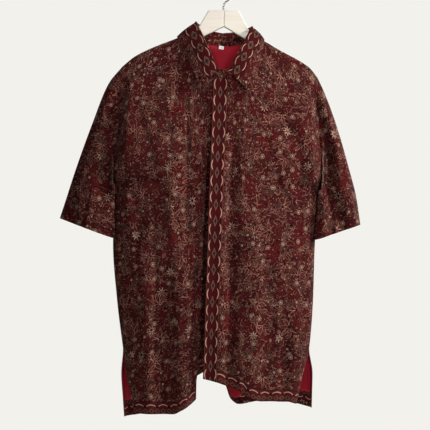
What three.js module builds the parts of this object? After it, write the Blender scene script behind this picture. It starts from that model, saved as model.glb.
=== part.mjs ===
// A short-sleeved batik shirt hanging on a flat wooden hanger.
// Millimetres, +Z up, front facing -Y. The origin is the inside of the hook's crown, where it hangs.
// Sides are the wearer's: the right front, right sleeve and right half of the hanger lie at -X.
// Every cloth piece is a thin wall laid on one shared form, so neighbours follow each other at the seams.

import * as THREE from 'three';

// ---- Driving sizes ----

const CLOTH = 1.2; // cotton wall, with its turned edges
const LINING_CLOTH = 1.0;
const SEAM_GAP = 0.3; // between the edges of two sewn pieces
const SECTION_POWER = 2.4; // roundness of the shirt's horizontal section
const MIDDLE_X = -12; // where the front and back lie furthest from the middle plane
const SIDE_CROWDING = 1.4; // how much closer the upright lines stand near the side seams
const RIDGE_RADIUS = 8; // bend of the shoulder over the hanger's edge
const SHOULDER_DROP = 300; // height over which the shoulder opens out to the chest's depth
const SHOULDER_POWER = 3;
const COLUMN_GLIDE = 260; // height over which an upright line leaves the place it starts from
const LAP_STEP = 3.5; // how far the right front lies behind the left one
const PLACKET_WIDTH = 32;
const PLACKET_COLUMNS = 2;
const HALF_COLUMNS = 18; // upright lines of a front, or of half the back
const SHARED_ANGLE = 90; // to here the sleeve and the body run on smoothly across their seam
const SLEEVE_ROWS = 11;
const LEAF_COLUMNS = 18; // in each half of the collar's leaf
const TURN_UP = 33; // height of the back's turned-up hem, below the lining
const LINING_GAP = 2.5;

// Rows of the body panels. The first ones meet the armhole at these angles, from the shoulder (0) to
// the underarm (180), and the rest grow taller from there to the hem.
const armholeAngles = [0, 9, 17, 28, 45, 66, 90, 114, 138, 160, 180];
const ARMHOLE_ROWS = armholeAngles.length - 1;
const LOWER_ROWS = 10;
const LOWER_HEIGHT = 510;
const LOWER_GRADING = 1.25;
const SLIT_ROWS = 7; // of the lower rows, those above the side slits

// The shirt's horizontal sections: half outlines of the front and back, their depths from the middle
// plane, and how far each stands from that plane at the open side slits.
const sections = [
  { z: -185, frontRight: -236, frontLeft: 222, backRight: -236, backLeft: 222, front: 42, back: 38, slit: 0 },
  { z: -300, frontRight: -239, frontLeft: 222, backRight: -239, backLeft: 222, front: 53, back: 48, slit: 0 },
  { z: -445, frontRight: -241, frontLeft: 213, backRight: -241, backLeft: 213, front: 60, back: 54, slit: 0 },
  { z: -576, frontRight: -243, frontLeft: 201, backRight: -243, backLeft: 201, front: 62, back: 56, slit: 0 },
  { z: -700, frontRight: -234, frontLeft: 197, backRight: -234, backLeft: 197, front: 60, back: 55, slit: 0 },
  { z: -805, frontRight: -221, frontLeft: 188.5, backRight: -221, backLeft: 188.5, front: 57, back: 52, slit: 0 },
  { z: -860, frontRight: -213.5, frontLeft: 175, backRight: -225, backLeft: 196, front: 55, back: 51, slit: 6 },
  { z: -910, frontRight: -203, frontLeft: 163.5, backRight: -222, backLeft: 195, front: 53, back: 50, slit: 12 },
  { z: -955, frontRight: -195, frontLeft: 156, backRight: -219, backLeft: 194, front: 51, back: 50, slit: 17 },
];

// The left front's lapping edge, and how far the right front's hidden edge reaches past it.
const lap = [
  { z: -200, edge: -22.5, reach: 34 },
  { z: -640, edge: -37.5, reach: 31 },
  { z: -760, edge: -41.5, reach: 18 },
  { z: -830, edge: -43.6, reach: -4 },
  { z: -875, edge: -45, reach: -14 },
  { z: -955, edge: -47.5, reach: -13 },
];

// The neck seam and the collar's fold, turning from the front (0 degrees) to the back (180).
const neckRight = [
  { turn: 0, x: 0, y: -51, z: -213 },
  { turn: 10, x: -13, y: -50.5, z: -210 },
  { turn: 30, x: -38, y: -44, z: -184 },
  { turn: 60, x: -64, y: -26, z: -143 },
  { turn: 90, x: -77, y: 0, z: -112 },
  { turn: 120, x: -62, y: 25, z: -121 },
  { turn: 150, x: -34, y: 38, z: -133 },
  { turn: 180, x: -2, y: 42, z: -138 },
];
const neckLeft = [
  { turn: 0, x: 0, y: -51, z: -213 },
  { turn: 10, x: 13, y: -50.5, z: -211 },
  { turn: 30, x: 34, y: -44, z: -189 },
  { turn: 60, x: 60, y: -26, z: -151 },
  { turn: 90, x: 72, y: 0, z: -121.5 },
  { turn: 120, x: 58, y: 25, z: -131 },
  { turn: 150, x: 30, y: 38, z: -136 },
  { turn: 180, x: -2, y: 42, z: -138 },
];
const foldRight = [
  { turn: 0, x: 0, y: -55, z: -196 },
  { turn: 10, x: -12.5, y: -54.5, z: -195 },
  { turn: 30, x: -27, y: -50, z: -163 },
  { turn: 60, x: -45, y: -33, z: -123 },
  { turn: 90, x: -60, y: -6, z: -89.5 },
  { turn: 120, x: -52, y: 24, z: -94 },
  { turn: 150, x: -30, y: 41, z: -105 },
  { turn: 180, x: -2, y: 46, z: -110.5 },
];
const foldLeft = [
  { turn: 0, x: 0, y: -55, z: -196 },
  { turn: 10, x: 12.5, y: -54.5, z: -197 },
  { turn: 30, x: 29, y: -50, z: -166 },
  { turn: 60, x: 47, y: -33, z: -131 },
  { turn: 90, x: 62, y: -6, z: -100 },
  { turn: 120, x: 53, y: 24, z: -102 },
  { turn: 150, x: 29, y: 41, z: -108 },
  { turn: 180, x: -2, y: 46, z: -110.5 },
];
const leafEdgeRight = [
  { turn: 10, x: -51.7, y: -52, z: -237 },
  { turn: 30, x: -68, y: -41, z: -194 },
  { turn: 60, x: -84, y: -27, z: -154 },
  { turn: 90, x: -93, y: -7, z: -114.5 },
  { turn: 105, x: -90, y: 9, z: -119 },
  { turn: 120, x: -80, y: 25, z: -136 },
  { turn: 150, x: -45, y: 48, z: -157 },
  { turn: 180, x: -2, y: 55, z: -163 },
];
const leafEdgeLeft = [
  { turn: 10, x: 60.5, y: -56, z: -250 },
  { turn: 30, x: 71, y: -44, z: -208 },
  { turn: 60, x: 82, y: -28, z: -167 },
  { turn: 90, x: 88.5, y: -7, z: -123.5 },
  { turn: 105, x: 85, y: 9, z: -128 },
  { turn: 120, x: 74, y: 25, z: -144 },
  { turn: 150, x: 42, y: 48, z: -159 },
  { turn: 180, x: -2, y: 55, z: -163 },
];
const LEAF_FIRST_TURN = 10;
const LEAF_BULGE = 4;
const LEAF_CLEARANCE = 1.6;

// Where each panel's neck columns start, as turns on the neck seam. Both fronts reach past the middle.
const rightNeckTurns = [-9, 7, 27, 48, 69, 90];
const leftNeckTurns = [-17, -5, 8, 34, 62, 90];
const backNeckTurns = [180, 150, 120, 90];

// The shoulder ridges over the hanger, from the neck to the shoulder point.
const ridgeRight = [
  { x: -77, z: -112 },
  { x: -109, z: -125.5 },
  { x: -142, z: -138 },
  { x: -172.7, z: -151.3 },
  { x: -197, z: -164.5 },
  { x: -222, z: -185 },
];
const ridgeLeft = [
  { x: 72, z: -121.5 },
  { x: 93.5, z: -131.5 },
  { x: 115.5, z: -144.7 },
  { x: 139.7, z: -158 },
  { x: 164, z: -171 },
  { x: 190, z: -188.7 },
  { x: 206, z: -209 },
];

// Sleeve rings from the armhole to the cuff: the outer line, the inner line beside the body, the depth.
const sleeveRight = [
  { along: 0, topX: -222, topZ: -185, lowX: -241, lowZ: -437, depth: 44 },
  { along: 0.14, topX: -252, topZ: -222, lowX: -242.8, lowZ: -456, depth: 45 },
  { along: 0.4, topX: -289, topZ: -312, lowX: -243.6, lowZ: -487, depth: 46 },
  { along: 0.7, topX: -327, topZ: -417.5, lowX: -244.3, lowZ: -526, depth: 44 },
  { along: 0.86, topX: -344, topZ: -470, lowX: -244.5, lowZ: -545, depth: 42 },
  { along: 1, topX: -360, topZ: -519, lowX: -244.6, lowZ: -562, depth: 40 },
];
const sleeveLeft = [
  { along: 0, topX: 206, topZ: -209, lowX: 214, lowZ: -447, depth: 44 },
  { along: 0.08, topX: 219, topZ: -236, lowX: 213.8, lowZ: -458, depth: 45 },
  { along: 0.32, topX: 247.5, topZ: -312, lowX: 211.8, lowZ: -483, depth: 46 },
  { along: 0.66, topX: 278, topZ: -417.5, lowX: 208.3, lowZ: -524, depth: 44 },
  { along: 0.83, topX: 291.5, topZ: -470, lowX: 206, lowZ: -546, depth: 42 },
  { along: 1, topX: 301, topZ: -533, lowX: 204, lowZ: -566, depth: 40 },
];

// Hem heights along X.
const hemRightFront = [
  { x: -196, z: -945 },
  { x: -113, z: -946 },
  { x: -93.5, z: -938 },
  { x: -71.5, z: -924 },
  { x: -58, z: -912 },
];
const hemLeftFront = [
  { x: -47, z: -866.5 },
  { x: -16.5, z: -875 },
  { x: 3.3, z: -882 },
  { x: 34, z: -894 },
  { x: 52, z: -908 },
  { x: 84.7, z: -917.5 },
  { x: 133, z: -918 },
  { x: 160, z: -925 },
];
const hemBack = [
  { x: -221, z: -956 },
  { x: -162, z: -950 },
  { x: -118, z: -930 },
  { x: -85, z: -898 },
  { x: -58, z: -870 },
  { x: -30, z: -858 },
  { x: -12, z: -866 },
  { x: 4, z: -888 },
  { x: 16, z: -920 },
  { x: 34, z: -932 },
  { x: 80, z: -926 },
  { x: 133, z: -926 },
  { x: 195, z: -936 },
];

// Soft folds, each from one place to another. lift is outwards, so a trough is below zero.
const frontFolds = [
  { x1: -50, z1: -460, x2: -60, z2: -900, width: 13, lift: -9 },
  { x1: -128, z1: -600, x2: -128, z2: -960, width: 17, lift: -11 },
  { x1: -95, z1: -500, x2: -92, z2: -960, width: 18, lift: 6 },
  { x1: -172, z1: -520, x2: -168, z2: -960, width: 18, lift: 6 },
  { x1: -80, z1: -230, x2: -76, z2: -470, width: 13, lift: -4 },
  { x1: -160, z1: -260, x2: -120, z2: -470, width: 20, lift: 4 },
  { x1: 24, z1: -290, x2: 14, z2: -780, width: 12, lift: -7 },
  { x1: 64, z1: -430, x2: 60, z2: -960, width: 18, lift: 6 },
  { x1: 106, z1: -640, x2: 100, z2: -960, width: 14, lift: -5 },
  { x1: 134, z1: -700, x2: 131, z2: -960, width: 13, lift: -9 },
  { x1: 92, z1: -250, x2: 168, z2: -370, width: 14, lift: -5 },
  { x1: 150, z1: -400, x2: 168, z2: -960, width: 18, lift: 5 },
  { x1: -208, z1: -300, x2: -214, z2: -430, width: 16, lift: 5 },
  { x1: 184, z1: -270, x2: 196, z2: -430, width: 16, lift: 5 },
];
const backFolds = [
  { x1: -30, z1: -640, x2: -30, z2: -960, width: 34, lift: 14 },
  { x1: -120, z1: -330, x2: -128, z2: -960, width: 18, lift: -9 },
  { x1: -172, z1: -420, x2: -176, z2: -960, width: 18, lift: 7 },
  { x1: -64, z1: -420, x2: -80, z2: -840, width: 15, lift: -6 },
  { x1: 44, z1: -260, x2: 34, z2: -900, width: 16, lift: -8 },
  { x1: 86, z1: -480, x2: 84, z2: -960, width: 18, lift: 7 },
  { x1: 132, z1: -380, x2: 128, z2: -960, width: 15, lift: -9 },
  { x1: 168, z1: -520, x2: 164, z2: -960, width: 16, lift: 5 },
  { x1: -150, z1: -220, x2: -60, z2: -350, width: 18, lift: -4 },
];
const sleeveFolds = [
  { x1: -232, z1: -215, x2: -262, z2: -360, width: 13, lift: -13 },
  { x1: -262, z1: -360, x2: -252, z2: -440, width: 13, lift: -9 },
  { x1: -290, z1: -380, x2: -318, z2: -540, width: 18, lift: 5 },
  { x1: 216, z1: -245, x2: 240, z2: -350, width: 13, lift: -14 },
  { x1: 240, z1: -350, x2: 254, z2: -460, width: 14, lift: -16 },
  { x1: 254, z1: -460, x2: 272, z2: -545, width: 14, lift: -9 },
  { x1: 222, z1: -420, x2: 226, z2: -520, width: 10, lift: 4 },
];
const FOLD_FADE = 160; // length over which a fold rises from its ends

// Hanger: one half's outline, from the crest's middle along the top edge and back under the arm.
const WOOD_THICKNESS = 12;
const WOOD_BEVEL = 2;
const WOOD_JOINT = { topX: 0.5, topZ: -62, lowX: 1, lowZ: -98 };
const woodRight = [
  { x: -33, z: -62 },
  { x: -58, z: -104 },
  { x: -77, z: -121.5 },
  { x: -142, z: -144.5 },
  { x: -188, z: -166.5 },
  { x: -202, z: -179 },
  { x: -204, z: -192 },
  { x: -193, z: -197 },
  { x: -46, z: -120.5 },
];
const woodLeft = [
  { x: 33.4, z: -62 },
  { x: 57, z: -106 },
  { x: 64, z: -125 },
  { x: 72, z: -132 },
  { x: 139, z: -163.5 },
  { x: 174, z: -185 },
  { x: 187, z: -199 },
  { x: 188, z: -209 },
  { x: 177, z: -212 },
  { x: 48, z: -126 },
];

// Hook: a round wire whose middle line runs through these places.
const HOOK_WIRE = 3.6;
const hookPath = [
  { x: 0, z: -61.6 },
  { x: 0, z: -54 },
  { x: 2.5, z: -46 },
  { x: 11, z: -38.5 },
  { x: 19.5, z: -29 },
  { x: 21, z: -17 },
  { x: 15.5, z: -4.5 },
  { x: 0, z: 1.8 },
  { x: -15.5, z: -4.5 },
  { x: -21.5, z: -19 },
  { x: -19.5, z: -29 },
];

// Label: a small blank tab inside the back of the neck.
const LABEL = { x: -4.5, z: -143.5, width: 11, height: 7.5, lean: 5, thickness: 1 };

// ---- Colours and finishes ----

const batik = { color: '#57231f', roughness: 0.85 };
const borderPrint = { color: '#6d3430', roughness: 0.85 };
const crimson = { color: '#88182a', roughness: 0.6 };
const blankLabel = { color: '#e9e4dc', roughness: 0.7 };
const paleWood = { color: '#ebe0d0', roughness: 0.5 };
const steel = { color: '#c9cbcc', roughness: 0.25, metalness: 1 };

// ---- Reading the tables ----

const clamp = (value, low, high) => Math.min(high, Math.max(low, value));
const lerp = (a, b, t) => a + (b - a) * t;
const smooth = (t) => t * t * (3 - 2 * t);

// The slope of one column at a row. It is zero at a turning point, so the curve never overshoots.
function slopeAt(table, by, name, row) {
  const rise = (i) => (table[i + 1][name] - table[i][name]) / (table[i + 1][by] - table[i][by]);
  if (row === 0) return rise(0);
  if (row === table.length - 1) return rise(row - 1);
  const before = rise(row - 1);
  const after = rise(row);
  return before * after <= 0 ? 0 : (2 * before * after) / (before + after);
}

// All columns of a table at one place along its column `by`, on smooth curves between the rows.
function read(table, by, at) {
  const rising = table[1][by] > table[0][by];
  let row = 0;
  while (row < table.length - 2 && (rising ? at > table[row + 1][by] : at < table[row + 1][by])) row += 1;
  const span = table[row + 1][by] - table[row][by];
  const t = clamp((at - table[row][by]) / span, 0, 1);
  const result = {};
  for (const name of Object.keys(table[row])) {
    const start = slopeAt(table, by, name, row) * span;
    const end = slopeAt(table, by, name, row + 1) * span;
    const a = table[row][name];
    const b = table[row + 1][name];
    result[name] = lerp(a, b, smooth(t)) + t * (1 - t) * (start * (1 - t) - end * t);
  }
  return result;
}

// The outward push of all folds at one place: a round ridge or trough that fades in at its ends.
function foldLift(folds, x, z) {
  let lift = 0;
  for (const fold of folds) {
    const t = clamp((fold.z1 - z) / (fold.z1 - fold.z2), 0, 1);
    const across = (x - lerp(fold.x1, fold.x2, t)) / fold.width;
    const inside = Math.min(fold.z1 - z, z - fold.z2 + FOLD_FADE) / FOLD_FADE;
    lift += fold.lift * Math.exp(-across * across) * smooth(clamp(inside, 0, 1));
  }
  return lift;
}

// ---- Walls ----

// A closed wall from a grid of outer points. Its inner skin lies one thickness behind them. hint is a
// rough outward direction at one grid place, and fixNormal may turn a normal so that two pieces match.
function wall(grid, { thickness, hint, closed = false, fixNormal = null }) {
  const rows = grid.length;
  const columns = grid[0].length;
  const wrap = (j) => (j + columns) % columns;
  const next = (j) => (closed ? wrap(j + 1) : Math.min(j + 1, columns - 1));
  const previous = (j) => (closed ? wrap(j - 1) : Math.max(j - 1, 0));
  const normals = grid.map((row, i) => row.map((point, j) => {
    const down = grid[Math.min(i + 1, rows - 1)][j].clone().sub(grid[Math.max(i - 1, 0)][j]);
    const side = row[next(j)].clone().sub(row[previous(j)]);
    return side.cross(down).normalize();
  }));
  const sign = Math.sign(normals[hint.row][hint.column].dot(hint.direction));
  normals.forEach((row, i) => row.forEach((normal, j) => {
    normal.multiplyScalar(sign);
    if (fixNormal) fixNormal(normal, i, j);
    normal.normalize();
  }));
  const behind = (point, i, j) => point.clone().addScaledVector(normals[i][j], -thickness);
  const inner = grid.map((row, i) => row.map((point, j) => behind(point, i, j)));
  return solidFrom([...grid.flat(), ...inner.flat()], wallFaces(rows, columns, closed));
}

// Faces of a wall: both skins, then the rims that join them.
function wallFaces(rows, columns, closed) {
  const faces = [];
  const skin = rows * columns;
  const quad = (a, b, c, d) => faces.push(a, b, c, a, c, d);
  const spans = closed ? columns : columns - 1;
  for (let i = 0; i < rows - 1; i += 1) {
    for (let j = 0; j < spans; j += 1) {
      const a = i * columns + j;
      const b = i * columns + ((j + 1) % columns);
      quad(a, b, b + columns, a + columns);
      quad(skin + b, skin + a, skin + a + columns, skin + b + columns);
    }
    if (!closed) {
      const left = i * columns;
      const right = left + columns - 1;
      quad(left, left + columns, skin + left + columns, skin + left);
      quad(right + columns, right, skin + right, skin + right + columns);
    }
  }
  for (let j = 0; j < spans; j += 1) {
    const top = j;
    const topNext = (j + 1) % columns;
    const low = (rows - 1) * columns;
    quad(topNext, top, skin + top, skin + topNext);
    quad(low + top, low + topNext, skin + low + topNext, skin + low + top);
  }
  return faces;
}

// A geometry whose faces point out, whichever way round the grid runs.
function solidFrom(points, faces) {
  const geometry = new THREE.BufferGeometry().setFromPoints(points);
  let volume = 0;
  for (let i = 0; i < faces.length; i += 3) {
    const [a, b, c] = [points[faces[i]], points[faces[i + 1]], points[faces[i + 2]]];
    volume += a.dot(b.clone().cross(c));
  }
  geometry.setIndex(volume > 0 ? faces : faces.toReversed());
  geometry.computeVertexNormals();
  return geometry;
}

function piece(name, geometry, finish) {
  const mesh = new THREE.Mesh(geometry, new THREE.MeshStandardMaterial({ ...finish, name }));
  mesh.name = name;
  return mesh;
}

// ---- The shared form ----

const tablesOf = (side) => (side < 0 ? { neck: neckRight, ridge: ridgeRight, sleeve: sleeveRight }
  : { neck: neckLeft, ridge: ridgeLeft, sleeve: sleeveLeft });

// How far a point below a top edge has opened out, from 0 at the edge to 1 at the chest's full depth.
const opening = (depth) => 1 - (1 - clamp(depth / SHOULDER_DROP, 0, 1)) ** SHOULDER_POWER;

// Distance from the middle plane at a depth below a top edge. The edge starts at that distance, and a
// ridge adds its own bend over the wood.
function openedOut(face, start, isRidge, depth, z) {
  const section = read(sections, 'z', z);
  const bend = 1 - clamp(depth / RIDGE_RADIUS, 0, 1);
  const bead = isRidge ? RIDGE_RADIUS * Math.sqrt(1 - bend * bend) : 0;
  return lerp(start + bead, face < 0 ? section.front : section.back, opening(depth));
}

// How far up its ring an angle of an armhole or sleeve lies, from 0 under the arm to 1 on top.
const upwardsAt = (angle) => (1 + Math.cos(THREE.MathUtils.degToRad(angle))) / 2;

// The side boundary of a panel: down the armhole's edge, then down the side seam or slit.
function sideX(side, face, z) {
  const [ring] = tablesOf(side).sleeve;
  const upwards = clamp((z - ring.lowZ) / (ring.topZ - ring.lowZ), 0, 1);
  if (z > ring.lowZ) return lerp(ring.lowX, ring.topX, upwards);
  const section = read(sections, 'z', z);
  if (face < 0) return side < 0 ? section.frontRight : section.frontLeft;
  return side < 0 ? section.backRight : section.backLeft;
}

// How far a panel has closed towards the middle plane at its side: 0 at the shoulder, 1 from the
// underarm down.
function sideClosing(side, z) {
  const [ring] = tablesOf(side).sleeve;
  const way = clamp((ring.topZ - z) / (ring.topZ - ring.lowZ), 0, 1);
  return 1 - Math.sqrt(1 - way ** 4);
}

function panelPoint(panel, column, z) {
  const { side, face } = panel;
  const top = panel.tops[column];
  const depth = top.point.z - z;
  const glide = 1 - smooth(clamp(depth / COLUMN_GLIDE, 0, 1));
  const x = panel.lineX(column, z) + glide * (top.point.x - panel.lineX(column, top.point.z));
  const across = clamp((x - MIDDLE_X) / (sideX(side, face, z) - MIDDLE_X), 0, 1);
  const roundness = 1 - (1 - (1 - across ** SECTION_POWER) ** (1 / SECTION_POWER)) * sideClosing(side, z);
  const slit = read(sections, 'z', z).slit * (face < 0 ? 1 : 0.3);
  const open = openedOut(face, Math.abs(top.point.y), top.isRidge, depth, z);
  const lift = foldLift(panel.folds, x, z) * opening(depth) * (1 - across ** 8);
  const outwards = slit + (open - slit) * roundness + lift;
  const behind = panel.lapped ? lapStep(x, z) : 0;
  return new THREE.Vector3(x, face * Math.max(SEAM_GAP / 2, outwards) + behind, z);
}

// The right front steps back where the left front covers it.
function lapStep(x, z) {
  const { edge } = read(lap, 'z', z);
  return LAP_STEP * smooth(clamp((x - edge + 45) / 37, 0, 1));
}

// X of each upright line, far enough below the edge that it starts from.
const crowd = (t) => 1 - (1 - t) ** SIDE_CROWDING;
function rightFrontX(column, z) {
  const { edge, reach } = read(lap, 'z', z);
  return lerp(edge + reach, sideX(-1, -1, z), crowd(column / HALF_COLUMNS));
}
function leftFrontX(column, z) {
  const { edge } = read(lap, 'z', z);
  if (column <= PLACKET_COLUMNS) return edge + (PLACKET_WIDTH * column) / PLACKET_COLUMNS;
  const t = (column - PLACKET_COLUMNS) / (HALF_COLUMNS - PLACKET_COLUMNS);
  return lerp(edge + PLACKET_WIDTH, sideX(1, -1, z), crowd(t));
}
const backHalfX = (side) => (column, z) => lerp(MIDDLE_X, sideX(side, 1, z), crowd(column / HALF_COLUMNS));

// The top edge of one panel half: round the neck seam, then along the shoulder ridge.
function neckPoint(side, turn, table = tablesOf(side).neck) {
  const row = read(table, 'turn', Math.max(0, turn));
  const past = Math.min(0, turn) * side * 1.3;
  return new THREE.Vector3(row.x + past, row.y, row.z);
}
function topEdge(side, face, neckTurns) {
  const { ridge } = tablesOf(side);
  const neck = neckTurns.slice(0, -1).map((turn) => ({ isRidge: false, point: neckPoint(side, turn) }));
  const steps = HALF_COLUMNS - neck.length;
  const shoulder = Array.from({ length: steps + 1 }, (_, k) => {
    const x = lerp(ridge[0].x, ridge[ridge.length - 1].x, k / steps);
    return { isRidge: true, point: new THREE.Vector3(x, (face * SEAM_GAP) / 2, read(ridge, 'x', x).z) };
  });
  return [...neck, ...shoulder];
}

// The lowest Z of an upright line, found where it meets the hem's height.
function hemZ(panel, column) {
  let z = -920;
  for (let pass = 0; pass < 12; pass += 1) z = lerp(z, read(panel.hem, 'x', panel.lineX(column, z)).z, 0.7);
  return z;
}

// Share of the way from a side's top to its hem at one row. Front and back match down to the slit.
function rowShare({ side, hem }, row) {
  const [ring] = tablesOf(side).sleeve;
  const end = side < 0 ? hem[0].z : hem.at(-1).z;
  const below = row - ARMHOLE_ROWS;
  const down = (rows) => ring.lowZ - LOWER_HEIGHT * (rows / LOWER_ROWS) ** LOWER_GRADING;
  let z = down(Math.max(0, below));
  if (below < 0) z = lerp(ring.lowZ, ring.topZ, upwardsAt(armholeAngles[row]));
  if (below > SLIT_ROWS) z = lerp(down(SLIT_ROWS), end, (below - SLIT_ROWS) / (LOWER_ROWS - SLIT_ROWS));
  return (ring.topZ - z) / (ring.topZ - end);
}
function panelGrid(panel) {
  const hems = panel.tops.map((_, column) => hemZ(panel, column));
  const middle = { side: -1, hem: hemBack };
  return Array.from({ length: ARMHOLE_ROWS + LOWER_ROWS + 1 }, (_, row) => panel.tops.map((top, column) => {
    const share = lerp(rowShare(middle, row), rowShare(panel, row), column / HALF_COLUMNS);
    return panelPoint(panel, column, lerp(top.point.z, hems[column], share));
  }));
}

const rightFront = {
  side: -1,
  face: -1,
  lapped: true,
  lineX: rightFrontX,
  hem: hemRightFront,
  folds: frontFolds.filter((fold) => fold.x1 < -30),
  tops: topEdge(-1, -1, rightNeckTurns),
};
const leftFront = {
  side: 1,
  face: -1,
  lapped: false,
  lineX: leftFrontX,
  hem: hemLeftFront,
  folds: frontFolds.filter((fold) => fold.x1 > -30),
  tops: topEdge(1, -1, leftNeckTurns),
};
rightFront.tops.forEach(({ isRidge, point }) => {
  if (!isRidge) point.y += lapStep(point.x, point.z);
});
const backHalf = (side) => ({
  side,
  face: 1,
  lapped: false,
  lineX: backHalfX(side),
  hem: hemBack,
  folds: backFolds,
  tops: topEdge(side, 1, backNeckTurns),
});

// The armhole's seam as a closed loop: down the front's edge, then up the back's.
function armholeLoop(side) {
  const edgeOf = (panel) => panelGrid(panel).slice(0, ARMHOLE_ROWS + 1).map((row) => row.at(-1));
  const front = edgeOf(side < 0 ? rightFront : leftFront);
  const rear = edgeOf(backHalf(side)).slice(1, -1);
  return [...front, ...rear.reverse()];
}
const armholeRight = armholeLoop(-1);
const armholeLeft = armholeLoop(1);

// The outward direction of the cloth where it crosses the armhole seam.
function armholeNormal(side, place) {
  const loop = side < 0 ? armholeRight : armholeLeft;
  const count = loop.length;
  const tangent = loop[(place + 1) % count].clone().sub(loop[(place + count - 1) % count]);
  return new THREE.Vector3(0, tangent.z, -tangent.y).normalize();
}

// ---- Body panels ----

// Turns a panel's edge normals so that they match the piece across the seam.
function matchSeams(normal, row, side, face, isRidge, atSide) {
  if (atSide && row <= ARMHOLE_ROWS && armholeAngles[row] <= SHARED_ANGLE) {
    normal.copy(armholeNormal(side, face < 0 || row === 0 ? row : 2 * ARMHOLE_ROWS - row));
  } else if (atSide && row >= ARMHOLE_ROWS) {
    normal.y = 0;
  } else if (row === 0 && isRidge) {
    normal.y = 0;
  }
}

function frontPanel(name, panel) {
  const hint = { row: 14, column: 5, direction: new THREE.Vector3(0, -1, 0) };
  const fixNormal = (normal, row, column) => {
    matchSeams(normal, row, panel.side, -1, panel.tops[column].isRidge, column === HALF_COLUMNS);
  };
  return piece(name, wall(panelGrid(panel), { thickness: CLOTH, hint, fixNormal }), batik);
}

function backGrid() {
  const right = panelGrid(backHalf(-1));
  const left = panelGrid(backHalf(1));
  return right.map((row, i) => [...row.slice().reverse(), ...left[i].slice(1)]);
}
const backTops = [...backHalf(-1).tops.reverse(), ...backHalf(1).tops.slice(1)];

function backPanel() {
  const hint = { row: 14, column: HALF_COLUMNS, direction: new THREE.Vector3(0, 1, 0) };
  const fixNormal = (normal, row, column) => {
    const side = column < HALF_COLUMNS ? -1 : 1;
    matchSeams(normal, row, side, 1, backTops[column].isRidge, column === 0 || column === 2 * HALF_COLUMNS);
  };
  return piece('back', wall(backGrid(), { thickness: CLOTH, hint, fixNormal }), batik);
}

// Moves a grid along its own normals. Positive is towards direction.
function movedGrid(grid, distance, direction) {
  const last = grid.length - 1;
  return grid.map((row, i) => row.map((point, j) => {
    const down = grid[Math.min(i + 1, last)][j].clone().sub(grid[Math.max(i - 1, 0)][j]);
    const side = row[Math.min(j + 1, row.length - 1)].clone().sub(row[Math.max(j - 1, 0)]);
    const normal = side.cross(down).normalize();
    const sign = Math.sign(normal.dot(direction));
    return point.clone().addScaledVector(normal, sign * distance);
  }));
}

// The hidden-button band, on the left front's first columns.
function placket() {
  const strip = panelGrid(leftFront).map((row) => row.slice(0, PLACKET_COLUMNS + 1));
  const outwards = new THREE.Vector3(0, -1, 0);
  const grid = movedGrid(strip, SEAM_GAP * 1.3 + CLOTH, outwards);
  const hint = { row: 8, column: 1, direction: outwards };
  return piece('placket', wall(grid, { thickness: CLOTH, hint }), borderPrint);
}

// The lining hangs inside the back, from the neck seam to the turned-up hem. Under the hanger's arms it
// starts a little lower than round the neck.
const LINING_NECK_ROW = 1;
const LINING_SHOULDER_ROW = 3;
function backLining() {
  const moved = movedGrid(backGrid(), CLOTH + LINING_GAP, new THREE.Vector3(0, -1, 0));
  const columns = moved[0].map((_, j) => j).slice(1, -1);
  const first = columns.map((j) => moved[backTops[j].isRidge ? LINING_SHOULDER_ROW : LINING_NECK_ROW][j]);
  const rows = moved.slice(LINING_SHOULDER_ROW + 1, -1).map((row) => columns.map((j) => row[j]));
  const last = columns.map((j) => {
    const [hem, above] = [moved.at(-1)[j], moved.at(-2)[j]];
    return hem.clone().lerp(above, TURN_UP / hem.distanceTo(above));
  });
  const hint = { row: 5, column: HALF_COLUMNS, direction: new THREE.Vector3(0, 1, 0) };
  return piece('back_lining', wall([first, ...rows, last], { thickness: LINING_CLOTH, hint }), crimson);
}

// ---- Sleeves ----

// One place on a sleeve's ring: its outer line at angle 0, its inner line beside the body at 180.
function ringPoint(ring, angle, face) {
  const upwards = upwardsAt(angle);
  const out = ring.depth * Math.max(0, Math.sin(THREE.MathUtils.degToRad(angle))) ** 0.85;
  return new THREE.Vector3(lerp(ring.lowX, ring.topX, upwards), face * out, lerp(ring.lowZ, ring.topZ, upwards));
}

// The first ring follows the armhole's seam, and the rings reach their own shape a third of the way down.
function sleeve(name, side, table) {
  const seam = side < 0 ? armholeRight : armholeLeft;
  const places = seam.map((_, k) => (k <= ARMHOLE_ROWS
    ? { angle: armholeAngles[k], face: -1 } : { angle: armholeAngles[2 * ARMHOLE_ROWS - k], face: 1 }));
  const grid = Array.from({ length: SLEEVE_ROWS + 1 }, (_, i) => {
    const along = i / SLEEVE_ROWS;
    const ring = read(table, 'along', along);
    return places.map(({ angle, face }, k) => {
      const point = ringPoint(ring, angle, face);
      const lift = Math.sin(THREE.MathUtils.degToRad(angle)) * foldLift(sleeveFolds, point.x, point.z);
      point.y += face * lift;
      point.y = lerp(seam[k].y, point.y, smooth(Math.min(1, along * 3)));
      if (k % ARMHOLE_ROWS === 0) point.y = 0;
      if (i === 0) point.x = seam[k].x + side * SEAM_GAP * (1.6 + (angle > SHARED_ANGLE ? 1 : 0));
      return point;
    });
  });
  const hint = { row: 4, column: 0, direction: new THREE.Vector3(side, 0, 1) };
  const fixNormal = (normal, row, column) => {
    if (row === 0 && places[column].angle <= SHARED_ANGLE) normal.copy(armholeNormal(side, column));
  };
  return piece(name, wall(grid, { thickness: CLOTH, hint, closed: true, fixNormal }), batik);
}

// ---- Collar ----

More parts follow.
